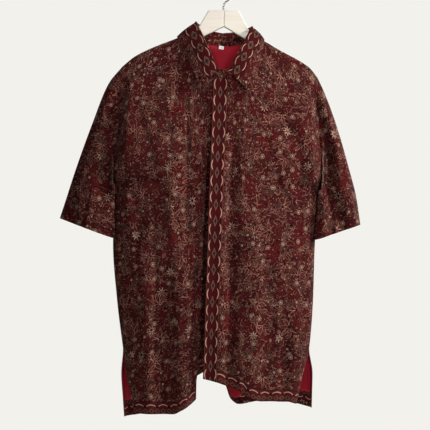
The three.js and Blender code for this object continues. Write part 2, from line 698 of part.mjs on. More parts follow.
// The stand sits on the panels' neck edges: its stations are theirs, and a middle one between each two.
function collarStand() {
  const halves = [
    { side: -1, turns: rightNeckTurns },
    { side: -1, turns: [...backNeckTurns].reverse() },
    { side: 1, turns: backNeckTurns },
    { side: 1, turns: [...leftNeckTurns].reverse() },
  ];
  const low = [];
  const high = [];
  halves.forEach(({ side, turns }, part) => {
    const spans = turns.slice(1).map((turn, k) => ({ a: turns[k], b: turn }));
    const stations = spans.flatMap((span) => [{ ...span, t: 0 }, { ...span, t: 0.5 }]);
    if (part === halves.length - 1) stations.push({ a: turns.at(-1), b: turns.at(-1), t: 0 });
    stations.forEach(({ a, b, t }) => {
      low.push(seamPoint(side, a).lerp(seamPoint(side, b), t));
      const fold = neckPoint(side, lerp(a, b, t), side < 0 ? foldRight : foldLeft);
      high.push(behindLap(fold, side, lerp(a, b, t)));
    });
  });
  low.forEach((point) => {
    point.z += SEAM_GAP * 3;
  });
  const middle = low.map((point, j) => point.clone().lerp(high[j], 0.5));
  const hint = { row: 1, column: 16, direction: new THREE.Vector3(0, 1, 0) };
  return piece('collar_stand', wall([high, middle, low], { thickness: CLOTH, hint }), batik);
}
function behindLap(point, side, turn) {
  if (side < 0) point.y += LAP_STEP * smooth(clamp((20 - turn) / 16, 0, 1));
  return point;
}
function seamPoint(side, turn) {
  const point = neckPoint(side, turn);
  if (side < 0 && turn < 90) point.y += lapStep(point.x, point.z);
  return point;
}

function collarLeaf() {
  const turnAt = (k) => lerp(LEAF_FIRST_TURN, 180, k / LEAF_COLUMNS);
  const right = Array.from({ length: LEAF_COLUMNS + 1 }, (_, k) => ({ side: -1, turn: turnAt(k) }));
  const left = right.slice(0, -1).reverse().map(({ turn }) => ({ side: 1, turn }));
  const turns = [...right, ...left];
  const stations = [0, 0.12, 0.4, 0.7, 1];
  const grid = stations.map((t) => turns.map(({ side, turn }) => {
    const fold = neckPoint(side, turn, side < 0 ? foldRight : foldLeft);
    const edge = neckPoint(side, turn, side < 0 ? leafEdgeRight : leafEdgeLeft);
    const outwards = new THREE.Vector3(fold.x, fold.y * 1.3, 0).normalize();
    fold.addScaledVector(outwards, CLOTH + LEAF_CLEARANCE);
    const bulge = LEAF_BULGE * 4 * t * (1 - t) + (t > 0 ? 1 : 0);
    return fold.lerp(edge, t).addScaledVector(outwards, bulge);
  }));
  const hint = { row: 2, column: LEAF_COLUMNS, direction: new THREE.Vector3(0, 1, 0) };
  return piece('collar_leaf', wall(grid, { thickness: CLOTH, hint }), borderPrint);
}

// ---- Label ----

// The label lies on the lining, square to it, a seam's gap in front of its nearest facets.
function neckLabel() {
  const shape = new THREE.BoxGeometry(LABEL.width, LABEL.thickness, LABEL.height);
  const z = LABEL.z;
  const seam = neckPoint(1, 180);
  const outside = openedOut(1, seam.y, false, seam.z - z, z);
  const y = outside - CLOTH - LINING_GAP - LINING_CLOTH - SEAM_GAP * 4 - LABEL.thickness / 2;
  const label = piece('neck_label', shape, blankLabel);
  label.position.set(LABEL.x, y, z);
  label.rotation.y = THREE.MathUtils.degToRad(LABEL.lean);
  return label;
}

// ---- Hanger ----

function hangerHalf(name, side, outline) {
  const slit = (side * SEAM_GAP) / 2;
  const shape = new THREE.Shape();
  shape.moveTo(WOOD_JOINT.topX + slit, WOOD_JOINT.topZ);
  outline.forEach(({ x, z }) => shape.lineTo(x, z));
  shape.lineTo(WOOD_JOINT.lowX + slit, WOOD_JOINT.lowZ);
  shape.closePath();
  const geometry = new THREE.ExtrudeGeometry(shape, {
    depth: WOOD_THICKNESS - 2 * WOOD_BEVEL,
    bevelThickness: WOOD_BEVEL,
    bevelSize: WOOD_BEVEL,
    bevelOffset: -WOOD_BEVEL,
    bevelSegments: 2,
  });
  geometry.translate(0, 0, WOOD_BEVEL - WOOD_THICKNESS / 2);
  geometry.rotateX(Math.PI / 2);
  return piece(name, geometry, paleWood);
}

function hangerHook() {
  const section = new THREE.Shape();
  section.absarc(0, 0, HOOK_WIRE / 2, 0, Math.PI * 2);
  const path = new THREE.CatmullRomCurve3(hookPath.map(({ x, z }) => new THREE.Vector3(x, 0, z)), false, 'centripetal');
  const geometry = new THREE.ExtrudeGeometry(section, { extrudePath: path, steps: 36, curveSegments: 5 });
  return piece('hanger_hook', geometry, steel);
}

// ---- The whole part ----

const group = new THREE.Group();
group.add(
  hangerHalf('hanger_right_half', -1, woodRight),
  hangerHalf('hanger_left_half', 1, woodLeft),
  hangerHook(),
  backPanel(),
  backLining(),
  neckLabel(),
  frontPanel('right_front', rightFront),
  frontPanel('left_front', leftFront),
  placket(),
  sleeve('right_sleeve', -1, sleeveRight),
  sleeve('left_sleeve', 1, sleeveLeft),
  collarStand(),
  collarLeaf(),
);

export default group;
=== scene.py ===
import math

import bmesh
import bpy
import numpy as np
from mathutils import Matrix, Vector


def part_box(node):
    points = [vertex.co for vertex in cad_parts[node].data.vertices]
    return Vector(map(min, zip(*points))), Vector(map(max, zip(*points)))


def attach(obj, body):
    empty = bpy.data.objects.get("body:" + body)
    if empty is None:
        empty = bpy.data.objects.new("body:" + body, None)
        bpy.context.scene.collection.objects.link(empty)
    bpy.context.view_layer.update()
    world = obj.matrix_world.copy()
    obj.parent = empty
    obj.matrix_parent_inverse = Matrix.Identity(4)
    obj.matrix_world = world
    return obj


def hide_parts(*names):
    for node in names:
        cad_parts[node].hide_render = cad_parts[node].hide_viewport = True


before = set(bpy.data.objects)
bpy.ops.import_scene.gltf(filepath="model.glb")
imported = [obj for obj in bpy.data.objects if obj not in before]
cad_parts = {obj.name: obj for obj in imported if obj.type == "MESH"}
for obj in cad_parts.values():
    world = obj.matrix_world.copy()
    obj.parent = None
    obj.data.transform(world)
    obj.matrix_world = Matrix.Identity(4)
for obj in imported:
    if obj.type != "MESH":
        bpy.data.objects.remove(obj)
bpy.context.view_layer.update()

# ---- Hanger's two wooden halves ----
# Two flat arms of pale beech, sawn to the slope of the shoulders, with softened edges and a satin lacquer.
# They are glued edge to edge in the middle, and the wearer's right one is painted a little darker than the
# left: painted shade, on the half farther from the lamp at the wearer's left.


def colour(red, green, blue):
    """Linear colour of an 8-bit display colour: the inverse of the display's curve."""
    return [((c / 255 + 0.055) / 1.055) ** 2.4 if c > 10 else c / 3294.6 for c in (red, green, blue)] + [1.0]


def new_material(name, **settings):
    """A node material with one Principled shader, whose constants stand on its own sockets."""
    material = bpy.data.materials.new(name)
    material.use_nodes = True
    shader = material.node_tree.nodes["Principled BSDF"]
    for socket, value in settings.items():
        shader.inputs[socket.replace("_", " ")].default_value = value
    return material, material.node_tree, shader


class Field:
    """A number at each point of a surface: a node's output, on which arithmetic adds Math nodes."""

    def __init__(self, tree, socket):
        self.tree = tree
        self.socket = socket

    def made(self, operation, *values):
        """The result of a Math node that is fed with fields or plain numbers."""
        node = self.tree.nodes.new("ShaderNodeMath")
        node.operation = operation
        for slot, value in zip(node.inputs, values):
            if isinstance(value, Field):
                self.tree.links.new(value.socket, slot)
            else:
                slot.default_value = value
        return Field(self.tree, node.outputs[0])

    def __add__(self, other):
        return self.made("ADD", self, other)

    def __sub__(self, other):
        return self.made("SUBTRACT", self, other)

    def __rsub__(self, other):
        return self.made("SUBTRACT", other, self)

    def __mul__(self, other):
        return self.made("MULTIPLY", self, other)

    def __truediv__(self, other):
        return self.made("DIVIDE", self, other)

    def __lt__(self, other):
        return self.made("LESS_THAN", self, other)

    def __gt__(self, other):
        return self.made("GREATER_THAN", self, other)

    def __abs__(self):
        return self.made("ABSOLUTE", self)

    def at_least(self, other):
        return self.made("MAXIMUM", self, other)

    def at_most(self, other):
        return self.made("MINIMUM", self, other)

    def clipped(self, low=0.0, high=1.0):
        return self.at_least(low).at_most(high)

    def wave(self):
        return self.made("SINE", self)

    def root(self):
        return self.made("SQRT", self)

    def part(self):
        return self.made("FRACT", self)

    def band(self, middle, half_width, softness):
        """1 within half_width of middle, falling to 0 over softness beside it."""
        return ((half_width + softness - abs(self - middle)) / softness).clipped()


def painted(tree, base, paint, where):
    """The colour paint laid over base where the field is 1."""
    node = tree.nodes.new("ShaderNodeMix")
    node.data_type = "RGBA"
    for name, value in (("A_Color", base), ("B_Color", paint), ("Factor_Float", where)):
        slot = next(s for s in node.inputs if s.identifier == name)
        value = value.socket if isinstance(value, Field) else value
        if isinstance(value, bpy.types.NodeSocket):
            tree.links.new(value, slot)
        else:
            slot.default_value = value
    return next(s for s in node.outputs if s.identifier == "Result_Color")


def noise(tree, place, scale, detail=2.0):
    """Smooth random field of the given spatial frequency at a place."""
    node = tree.nodes.new("ShaderNodeTexNoise")
    node.inputs["Scale"].default_value = scale
    node.inputs["Detail"].default_value = detail
    tree.links.new(place, node.inputs["Vector"])
    return Field(tree, node.outputs["Fac"])


def bumped(tree, shader, height, distance):
    """Feeds a height field to the shader's normal."""
    node = tree.nodes.new("ShaderNodeBump")
    node.inputs["Distance"].default_value = distance
    tree.links.new(height.socket, node.inputs["Height"])
    tree.links.new(node.outputs["Normal"], shader.inputs["Normal"])


GRAIN_SCALE = (9, 90, 150)
FLECK_BROWN = colour(186, 150, 116)


def beech(name, slope, pale, deep):
    """Beech: noise stretched along the arm, which slopes by that many degrees, and short dark flecks where
    a finer noise of the same grain runs high."""
    material, tree, shader = new_material(name, Roughness=0.42, Coat_Weight=0.15, Coat_Roughness=0.3)
    place = tree.nodes.new("ShaderNodeTexCoord")
    with_grain = tree.nodes.new("ShaderNodeMapping")
    with_grain.inputs["Rotation"].default_value = (0, math.radians(slope), 0)
    with_grain.inputs["Scale"].default_value = GRAIN_SCALE
    tree.links.new(place.outputs["Object"], with_grain.inputs["Vector"])
    grain = noise(tree, with_grain.outputs[0], 1.0, 5.0)
    fleck = noise(tree, with_grain.outputs[0], 6.0, 1.0)
    tone = painted(tree, pale, deep, (grain - 0.38) * 1.9)
    tone = painted(tree, tone, FLECK_BROWN, (fleck > 0.71) * 0.35)
    tree.links.new(tone, shader.inputs["Base Color"])
    bumped(tree, shader, grain + fleck * 0.3, 0.0002)
    return material


# The wearer's right half's darker colours are painted shade, on the half farther from the lamp at the
# wearer's left.
for node_name, arm_slope, pale, deep in (
    ("hanger_right_half", -22, colour(252, 243, 230), colour(240, 226, 206)),
    ("hanger_left_half", 23, colour(254, 248, 234), colour(243, 230, 208)),
):
    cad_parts[node_name].data.materials[0] = beech(node_name + "_beech", arm_slope, pale, deep)

# ---- Hanger's hook ----
# A polished steel wire, bent round to a crook with a rounded tip. Its straight end is screwed into the crest,
# where the two halves meet.

HOOK_WIRE = 0.0036  # thickness, in metres
HOOK_LENGTH = 0.17
HOOK_RINGS = 140
RING_POINTS = 24
hook_path = np.array([
    # x, z, from the screwed end to the tip
    (0.0, -0.0616), (0.0, -0.054), (0.0025, -0.046), (0.011, -0.0385), (0.0195, -0.029), (0.021, -0.017),
    (0.0155, -0.0045), (0.0, 0.0018), (-0.0155, -0.0045), (-0.0215, -0.019), (-0.0195, -0.029),
])


def along(points, count):
    """Points evenly spaced on the smooth curve through some points: on each span a cubic whose end slopes are
    half the step between the neighbours before and after."""
    ends = np.vstack([2 * points[0] - points[1], points, 2 * points[-1] - points[-2]])
    t = np.linspace(0, len(points) - 1, 12 * count)
    i = np.minimum(t.astype(int), len(points) - 2)
    t = (t - i)[:, None]
    before, start, end, after = ends[i], ends[i + 1], ends[i + 2], ends[i + 3]
    fine = start + t / 2 * (end - before + t * (2 * before - 5 * start + 4 * end - after
                                                + t * (3 * (start - end) + after - before)))
    walked = np.concatenate([[0], np.cumsum(np.linalg.norm(np.diff(fine, axis=0), axis=1))])
    even = np.linspace(0, walked[-1], count)
    return np.stack([np.interp(even, walked, fine[:, k]) for k in range(fine.shape[1])], axis=1)


def skin(name, grid, closed_across=False, uv=None, band=None):
    """A mesh from a grid of points, rows by columns by xyz, with a quad between neighbours. Its uv maps, in
    metres of cloth, have the grid's rows and columns, and one column more where the grid closes on itself."""
    rows, columns = grid.shape[:2]
    index = np.arange(rows * columns).reshape(rows, columns)
    if closed_across:
        index = np.hstack([index, index[:, :1]])
    spot = np.arange(index.size).reshape(index.shape)
    faces, face_spots = (
        np.stack([i[:-1, :-1], i[:-1, 1:], i[1:, 1:], i[1:, :-1]], axis=2).reshape(-1, 4)
        for i in (index, spot))
    mesh = bpy.data.meshes.new(name)
    mesh.from_pydata(grid.reshape(-1, 3).tolist(), [], faces.tolist())
    for layer, values in (("UVMap", uv), ("Band", band)):
        if values is not None:
            corners = values.reshape(-1, 2)[face_spots.ravel()].astype(np.float32)
            mesh.uv_layers.new(name=layer).data.foreach_set("uv", corners.ravel())
    mesh.polygons.foreach_set("use_smooth", np.ones(len(faces), bool))
    mesh.update()
    made = bpy.data.objects.new(name, mesh)
    bpy.context.collection.objects.link(made)
    return made


def facing(made, direction):
    """Turns all faces over if most of them look against a direction, or against one given for each face."""
    mesh = made.data
    normals = np.empty(3 * len(mesh.polygons))
    mesh.polygons.foreach_get("normal", normals)
    if (normals.reshape(-1, 3) * direction).sum() < 0:
        mesh.flip_normals()


def facing_out(made, rings):
    """Faces a tube away from its rings' middles."""
    facing(made, (rings - rings.mean(axis=1, keepdims=True))[:-1].reshape(-1, 3))


def merged(made, reach=1e-7):
    """Joins the points that lie together, so that the faces round a pole close on one point."""
    work = bmesh.new()
    work.from_mesh(made.data)
    bmesh.ops.remove_doubles(work, verts=work.verts[:], dist=reach)
    work.to_mesh(made.data)
    work.free()


def hook_wire():
    """A round section carried along the hook's path. Over both rounded ends its radius is the wire's times
    the root of 1 less the square of 1 less the way in from the tip."""
    centre = along(hook_path, HOOK_RINGS)
    walk = np.linspace(0, HOOK_LENGTH, HOOK_RINGS)
    heading = np.gradient(centre, axis=0)
    heading /= np.linalg.norm(heading, axis=1)[:, None]
    across = np.stack([-heading[:, 1], heading[:, 0]], axis=1)
    way_in = np.clip(np.minimum(walk, walk[-1] - walk) / (HOOK_WIRE / 2), 0, 1)
    radius = HOOK_WIRE / 2 * np.sqrt(1 - (1 - way_in) ** 2)
    turn = np.linspace(0, 2 * np.pi, RING_POINTS, endpoint=False)
    flat = centre[:, None] + across[:, None] * (radius[:, None] * np.cos(turn))[..., None]
    return np.stack([flat[..., 0], radius[:, None] * np.sin(turn), flat[..., 1]], axis=2)


def bright_steel(name):
    """Polished steel wire, with faint clouds of tone and drawing marks too fine to see one by one."""
    material, tree, shader = new_material(name, Metallic=1.0, Roughness=0.24)
    place = tree.nodes.new("ShaderNodeTexCoord").outputs["Object"]
    tone = painted(tree, colour(214, 215, 217), colour(176, 178, 182), noise(tree, place, 260))
    tree.links.new(tone, shader.inputs["Base Color"])
    bumped(tree, shader, noise(tree, place, 900), 0.00003)
    return material


hook_grid = hook_wire()
hook = skin("hook_wire", hook_grid, closed_across=True)
facing_out(hook, hook_grid)
merged(hook)
hook.data.materials.append(bright_steel("hook_steel"))
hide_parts("hanger_hook")
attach(hook, "root")

# ---- Back ----
# One piece of printed cotton from the neck to the hem, with a slit at each side. Its hem is turned up
# inside, where the border print shows, and it is caught up a little in the middle.

# Sizes and places of the cloth pieces are in millimetres. A side is -1 for the wearer's right and 1 for the
# left, a face is -1 for the front and 1 for the back, and a turn is in degrees round the neck from the front.
CLOTH = 1.2  # thickness
EDGE_GAP = 0.15  # from a closed edge to the plane between front and back
MIDDLE_X = -12  # of the line from which a section's halves spread
SHOULDER_DROP = 300  # over which the body opens to its full depth
GLIDE_DROP = 260  # over which the upright lines leave the spacing that they have at the top edge
RIDGE_RADIUS = 8  # of the shoulder's rounded top
PAST_MIDDLE = 1.3  # of x for each degree that a neck edge runs on past the front's middle
SECTION_POWER = 2.4  # a section is a little fuller than an ellipse
CREASE_STRENGTH = 1.4
HOLLOW = {-1: 26, 1: 9}  # beside the armhole, by face
SLIT_SHARE = {-1: 1, 1: 0.3}  # of the slit's gape, by face
ARMHOLE_SHARE = 0.36  # of a panel's rows
PANEL_ROWS = 150
PANEL_COLUMNS = 84
LINES = 18  # upright lines from a half's middle to its side, which the columns divide evenly

# Columns of the table of sections, by side and face, and by face.
SIDE_COLUMN = {(-1, -1): 1, (1, -1): 2, (-1, 1): 3, (1, 1): 4}
DEPTH_COLUMN = {-1: 5, 1: 6}
SLIT_COLUMN = 7
sections = np.array([
    # z, front right x, front left x, back right x, back left x, front depth, back depth, slit
    (-955, -195, 156, -219, 194, 51, 50, 17),
    (-910, -203, 163.5, -222, 195, 53, 50, 12),
    (-860, -213.5, 175, -225, 196, 55, 51, 6),
    (-805, -221, 188.5, -221, 188.5, 57, 52, 0),
    (-700, -234, 197, -234, 197, 60, 55, 0),
    (-576, -243, 201, -243, 201, 62, 56, 0),
    (-445, -241, 213, -241, 213, 60, 54, 0),
    (-300, -239, 222, -239, 222, 53, 48, 0),
    (-185, -236, 222, -236, 222, 42, 38, 0),
])
neck_seam = {
    # turn, x, y, z
    -1: np.array([(0, 0, -51, -213), (10, -13, -50.5, -210), (30, -38, -44, -184), (60, -64, -26, -143),
                  (90, -77, 0, -112), (120, -62, 25, -121), (150, -34, 38, -133), (180, -2, 42, -138)]),
    1: np.array([(0, 0, -51, -213), (10, 13, -50.5, -211), (30, 34, -44, -189), (60, 60, -26, -151),
                 (90, 72, 0, -121.5), (120, 58, 25, -131), (150, 30, 38, -136), (180, -2, 42, -138)]),
}
shoulder_ridge = {
    # x, z
    -1: np.array([(-222, -185), (-197, -164.5), (-172.7, -151.3), (-142, -138), (-109, -125.5), (-77, -112)]),
    1: np.array([(72, -121.5), (93.5, -131.5), (115.5, -144.7), (139.7, -158), (164, -171), (190, -188.7),
                 (206, -209)]),
}
armhole = {-1: dict(top_x=-222, top_z=-185, low_x=-241, low_z=-437),
           1: dict(top_x=206, top_z=-209, low_x=214, low_z=-447)}
back_hem = np.array([
    # x, z
    (-221, -956), (-162, -950), (-118, -930), (-85, -898), (-58, -870), (-30, -858), (-12, -866),
    (4, -888), (16, -920), (34, -932), (80, -926), (133, -926), (195, -936),
])
back_folds = np.array([
    # x1, z1, x2, z2, width, lift
    (-30, -640, -30, -960, 34, 14), (-120, -330, -128, -960, 18, -9), (-172, -420, -176, -960, 18, 7),
    (-64, -420, -80, -840, 15, -6), (44, -260, 34, -900, 16, -8), (86, -480, 84, -960, 18, 7),
    (132, -380, 128, -960, 15, -9), (168, -520, 164, -960, 16, 5), (-150, -220, -60, -350, 18, -4),
])
back_creases = np.array([
    # x1, z1, x2, z2, width, lift
    (-196, -300, -150, -420, 6, -1.6), (-205, -420, -160, -500, 7, 1.4), (-95, -300, -104, -620, 7, 2.2),
    (-148, -480, -150, -900, 6, -2.4), (-20, -250, -14, -520, 8, -2.0), (12, -420, 10, -780, 6, 1.8),
    (62, -300, 58, -560, 6, -1.8), (108, -560, 106, -950, 6, -2.4), (150, -300, 190, -400, 7, -1.8),
    (148, -640, 150, -930, 5, 2.0), (184, -480, 178, -820, 6, -2.2), (-190, -600, -194, -930, 6, -2.2),
    (-60, -170, -30, -215, 8, 1.4), (40, -165, 66, -230, 8, -1.4), (-44, -700, -52, -930, 6, -2.2),
])


def curve(knots, values, at):
    """Smooth curve through a table. The slope at a knot is the harmonic mean of the rises beside it, or zero
    at a turning point, and a cubic joins two knots by their values and slopes."""
    rise = np.diff(values) / np.diff(knots)
    product = rise[:-1] * rise[1:]
    total = np.where(product > 0, rise[:-1] + rise[1:], 1)
    slope = np.concatenate([rise[:1], np.where(product > 0, 2 * product / total, 0), rise[-1:]])
    row = np.clip(np.searchsorted(knots, at) - 1, 0, len(knots) - 2)
    span = knots[row + 1] - knots[row]
    t = np.clip((at - knots[row]) / span, 0, 1)
    ease = t * t * (3 - 2 * t)
    straight = values[row] * (1 - ease) + values[row + 1] * ease
    return straight + t * (1 - t) * span * (slope[row] * (1 - t) - slope[row + 1] * t)


def smooth(t):
    """Ease from 0 to 1: three t squared less two t cubed."""
    t = np.clip(t, 0, 1)
    return t * t * (3 - 2 * t)


def section(column, z):
    """A column of the table of sections, read at each height."""
    return curve(sections[:, 0], sections[:, column], z)


def side_x(side, face, z):
    """X of a panel's side boundary: straight down the armhole, then down the side seam or slit."""
    hole = armhole[side]
    up = np.clip((z - hole["low_z"]) / (hole["top_z"] - hole["low_z"]), 0, 1)
    beside_hole = hole["low_x"] + (hole["top_x"] - hole["low_x"]) * up
    return np.where(z > hole["low_z"], beside_hole, section(SIDE_COLUMN[side, face], z))


def side_closing(side, z):
    """How far a panel closes to the middle plane at its side: 1 less the root of 1 less the way down to 4."""
    hole = armhole[side]
    way = np.clip((hole["top_z"] - z) / (hole["top_z"] - hole["low_z"]), 0, 1)
    return 1 - np.sqrt(1 - way ** 4)


def opening(depth):
    """How far the body opens at a depth below its top edge: 1 less the cube of 1 less the way down."""
    return 1 - (1 - np.clip(depth / SHOULDER_DROP, 0, 1)) ** 3


def folded(folds, x, z, fade=160.0, sway=0.0):
    """Sum of soft ridges and troughs: each is a bell across its line that rises from its ends over a length,
    and sways from side to side by a share of its width."""
    total = np.zeros_like(x)
    for x1, z1, x2, z2, width, lift in folds:
        t = np.clip((z1 - z) / (z1 - z2), 0, 1)
        run = min(fade, 0.45 * abs(z1 - z2) + 8)
        line = x1 + (x2 - x1) * t + sway * width * np.sin(t * 5 + x1)
        inside = np.minimum(z1 - z, z - z2 + fade) / run
        total = total + lift * np.exp(-((x - line) / width) ** 2) * smooth(inside)
    return total


def crumple(x, z, seed, height):
    """Shallow unevenness of hanging cotton: a sum of sines across it, mostly upright, with heights in
    proportion to their wavelengths, of random slant and place, and weaker here and there."""
    dice = np.random.default_rng(seed)
    total = np.zeros_like(x)
    for wavelength in (64, 41, 29, 20, 14):
        slant, shift, wander = dice.uniform(-0.35, 0.35), dice.uniform(0, 6), dice.uniform(0, 6)
        bend = 9 * np.sin(z / dice.uniform(70, 150) + wander)
        fade = 0.55 + 0.45 * np.sin(z / dice.uniform(60, 120) + shift) * np.sin(x / 53 + wander)
        phase = (x + slant * z + bend) * 2 * np.pi / wavelength + shift
        total = total + wavelength / 64 * fade * np.sin(phase)
    return height * total


def hem_z(hem, line_x, columns):
    """Where each upright line meets the hem: its height moves 0.7 of the way to the hem's till it settles."""
    z = np.full(columns.shape, -920.0)
    for _ in range(14):
        z = 0.3 * z + 0.7 * curve(hem[:, 0], hem[:, 1], line_x(columns, z))
    return z


def row_share(side, hem_end, rows):
    """Share of the way down the side at each row: the armhole's rows follow the cosine of equal turns, and
    the rest are even."""
    hole = armhole[side]
    turn = np.clip(rows / ARMHOLE_SHARE, 0, 1) * np.pi
    z = hole["low_z"] + (hole["top_z"] - hole["low_z"]) * (1 + np.cos(turn)) / 2
    below = np.clip((rows - ARMHOLE_SHARE) / (1 - ARMHOLE_SHARE), 0, 1)
    z = z + (hem_end - hole["low_z"]) * below
    return (hole["top_z"] - z) / (hole["top_z"] - hem_end)


def top_edge(side, columns, neck_turns):
    """X, z and distance off the middle plane along a panel's top edge. One column for each given turn follows
    the neck seam, and the rest run out along the shoulder's ridge in even steps of x."""
    last = len(neck_turns) - 1
    seam, ridge = neck_seam[side], shoulder_ridge[side]
    on_neck = columns <= last
    turn = np.interp(columns, np.arange(last + 1), neck_turns)
    seam_x, seam_y, seam_z = (curve(seam[:, 0], seam[:, k], np.maximum(turn, 0)) for k in (1, 2, 3))
    seam_x = seam_x + np.minimum(turn, 0) * side * PAST_MIDDLE
    neck_point_x = seam[4, 1]
    steps = np.clip((columns - last) / (LINES - last), 0, 1)
    ridge_x = neck_point_x + (armhole[side]["top_x"] - neck_point_x) * steps
    x = np.where(on_neck, seam_x, ridge_x)
    z = np.where(on_neck, seam_z, curve(ridge[:, 0], ridge[:, 1], ridge_x))
    return x, z, np.where(on_neck, np.abs(seam_y), EDGE_GAP)


def panel(side, face, neck_turns, hem, line_x, folds, creases, seed, behind=None):
    """Grid of a body panel's outer points, from its top edge down to its hem.

    Upright lines glide from the top edge to line_x. At each height the cloth stands off the middle plane by
    the section's depth times the roundness, the 2.4th root of 1 less the way across to 2.4, which closes
    towards the side. Folds are added, which die out at the top edge and at the side, less a hollow by the
    armhole. A small round ridge runs along the shoulder."""
    columns = np.linspace(0, LINES, PANEL_COLUMNS + 1)
    top_x, top_z, top_y = top_edge(side, columns, neck_turns)
    hems = hem_z(hem, line_x, columns)
    hem_end = hem[0, 1] if side < 0 else hem[-1, 1]
    rows = np.linspace(0, 1, PANEL_ROWS + 1)[:, None]
    blend = columns / LINES
    share = row_share(-1, back_hem[0, 1], rows) * (1 - blend) + row_share(side, hem_end, rows) * blend
    z = top_z + (hems - top_z) * share
    depth = top_z - z
    glide = 1 - smooth(depth / GLIDE_DROP)
    x = line_x(columns, z) + glide * (top_x - line_x(columns, top_z))

    across = np.clip((x - MIDDLE_X) / (side_x(side, face, z) - MIDDLE_X), 0, 1)
    roundness = 1 - (1 - (1 - across ** SECTION_POWER) ** (1 / SECTION_POWER)) * side_closing(side, z)
    slit = section(SLIT_COLUMN, z) * SLIT_SHARE[face]
    on_ridge = smooth(columns - (len(neck_turns) - 2))
    bend = 1 - np.clip(depth / RIDGE_RADIUS, 0, 1)
    edge = top_y + on_ridge * RIDGE_RADIUS * np.sqrt(1 - bend * bend)
    open_to = edge + (section(DEPTH_COLUMN[face], z) - edge) * opening(depth)

    creased = CREASE_STRENGTH * folded(creases, x, z, fade=60.0, sway=0.5)
    lift = folded(folds, x, z) + creased + crumple(x, z, seed, 0.6)
    by_side = np.exp(-((across - 1) / 0.055) ** 2)
    hollow = by_side * smooth((depth - 25) / 70) * smooth((z - armhole[side]["low_z"]) / 90)
    lift = lift * opening(depth) * (1 - across ** 8) - HOLLOW[face] * hollow
    y = face * np.maximum(EDGE_GAP, slit + (open_to - slit) * roundness + lift)
    if behind is not None:
        y = y + behind(x, z)
    return np.stack([x, y, z], axis=2)


def crowded(t):
    """Share of the way to the side at a share of the lines: 1 less 1 less t to 1.4, crowding at the side."""
    return 1 - (1 - t) ** 1.4


def back_half(side):
    """Half of the back: its lines spread from the middle to the side, closer together near the side."""
    def line_x(columns, z):
        return MIDDLE_X + (side_x(side, 1, z) - MIDDLE_X) * crowded(columns / LINES)
    return panel(side, 1, [180, 150, 120, 90], back_hem, line_x, back_folds, back_creases, seed=11)


def walked_across(grid):
    """Distance walked along each row of a grid from its first column: the sum of the steps so far."""
    steps = np.linalg.norm(np.diff(grid, axis=1), axis=2)
    return np.concatenate([np.zeros((len(grid), 1)), np.cumsum(steps, axis=1)], axis=1)


def cloth_map(grid, origin_column=0, way=1):
    """Place of each point on the flat cloth, in metres: the walked distance across from one column, and the
    height. A way of -1 counts a right-hand piece from its other side, so that its print isn't mirrored."""
    walked = walked_across(grid)
    walked = walked - walked[:, origin_column:origin_column + 1]
    return np.stack([way * walked, grid[..., 2]], axis=2) / 1000


def hem_map(grid):
    """Band coordinates, in metres: the distance along the hem, and the distance up from it."""
    up = walked_across(grid[::-1].swapaxes(0, 1)).T[::-1]
    return np.stack([np.broadcast_to(walked_across(grid[-1:]), up.shape), up], axis=2) / 1000


def stood_off(grid, towards, distance):
    """A grid moved along its own unit normals, to the side that a direction gives. A normal is the cross
    product of the grid's two gradients."""
    normal = np.cross(np.gradient(grid, axis=1), np.gradient(grid, axis=0))
    normal /= np.maximum(np.linalg.norm(normal, axis=2, keepdims=True), 1e-9)
    return grid + normal * np.sign((normal * np.asarray(towards)).sum()) * distance


def rows_between(grid, top, bottom, count):
    """Rows of a grid picked evenly between two row numbers, which may differ from column to column. A row
    between two of the grid's is their mean, weighted by nearness."""
    row = top + (bottom - top) * np.linspace(0, 1, count)[:, None]
    low = np.clip(row.astype(int), 0, len(grid) - 2)
    part = (row - low)[..., None]
    columns = np.arange(grid.shape[1])
    return grid[low, columns] * (1 - part) + grid[low + 1, columns] * part


def thick(made, thickness, inner_slot=0):
    """Gives a sheet its thickness, behind its faces, with its inner side in another of its materials."""
    wall = made.modifiers.new("thickness", "SOLIDIFY")
    wall.thickness = thickness / 1000
    wall.offset = -1
    wall.material_offset = inner_slot
    wall.material_offset_rim = 0


def place_on(tree, layer):
    """The two coordinates of a uv map, as a vector and as fields."""
    uv = tree.nodes.new("ShaderNodeUVMap")
    uv.uv_map = layer
    split = tree.nodes.new("ShaderNodeSeparateXYZ")
    tree.links.new(uv.outputs["UV"], split.inputs[0])
    return uv.outputs["UV"], Field(tree, split.outputs[0]), Field(tree, split.outputs[1])


def warped(tree, place, amount, scale):
    """A place pushed about by smooth noise, so that drawn lines wander as hand-drawn wax does."""
    node = tree.nodes.new("ShaderNodeTexNoise")
    node.inputs["Scale"].default_value = scale
    node.inputs["Detail"].default_value = 1.0
    tree.links.new(place, node.inputs["Vector"])
    push = tree.nodes.new("ShaderNodeVectorMath")
    push.operation = "MULTIPLY_ADD"
    tree.links.new(node.outputs["Color"], push.inputs[0])
    push.inputs[1].default_value = (amount, amount, 0)
    tree.links.new(place, push.inputs[2])
    return push.outputs[0]


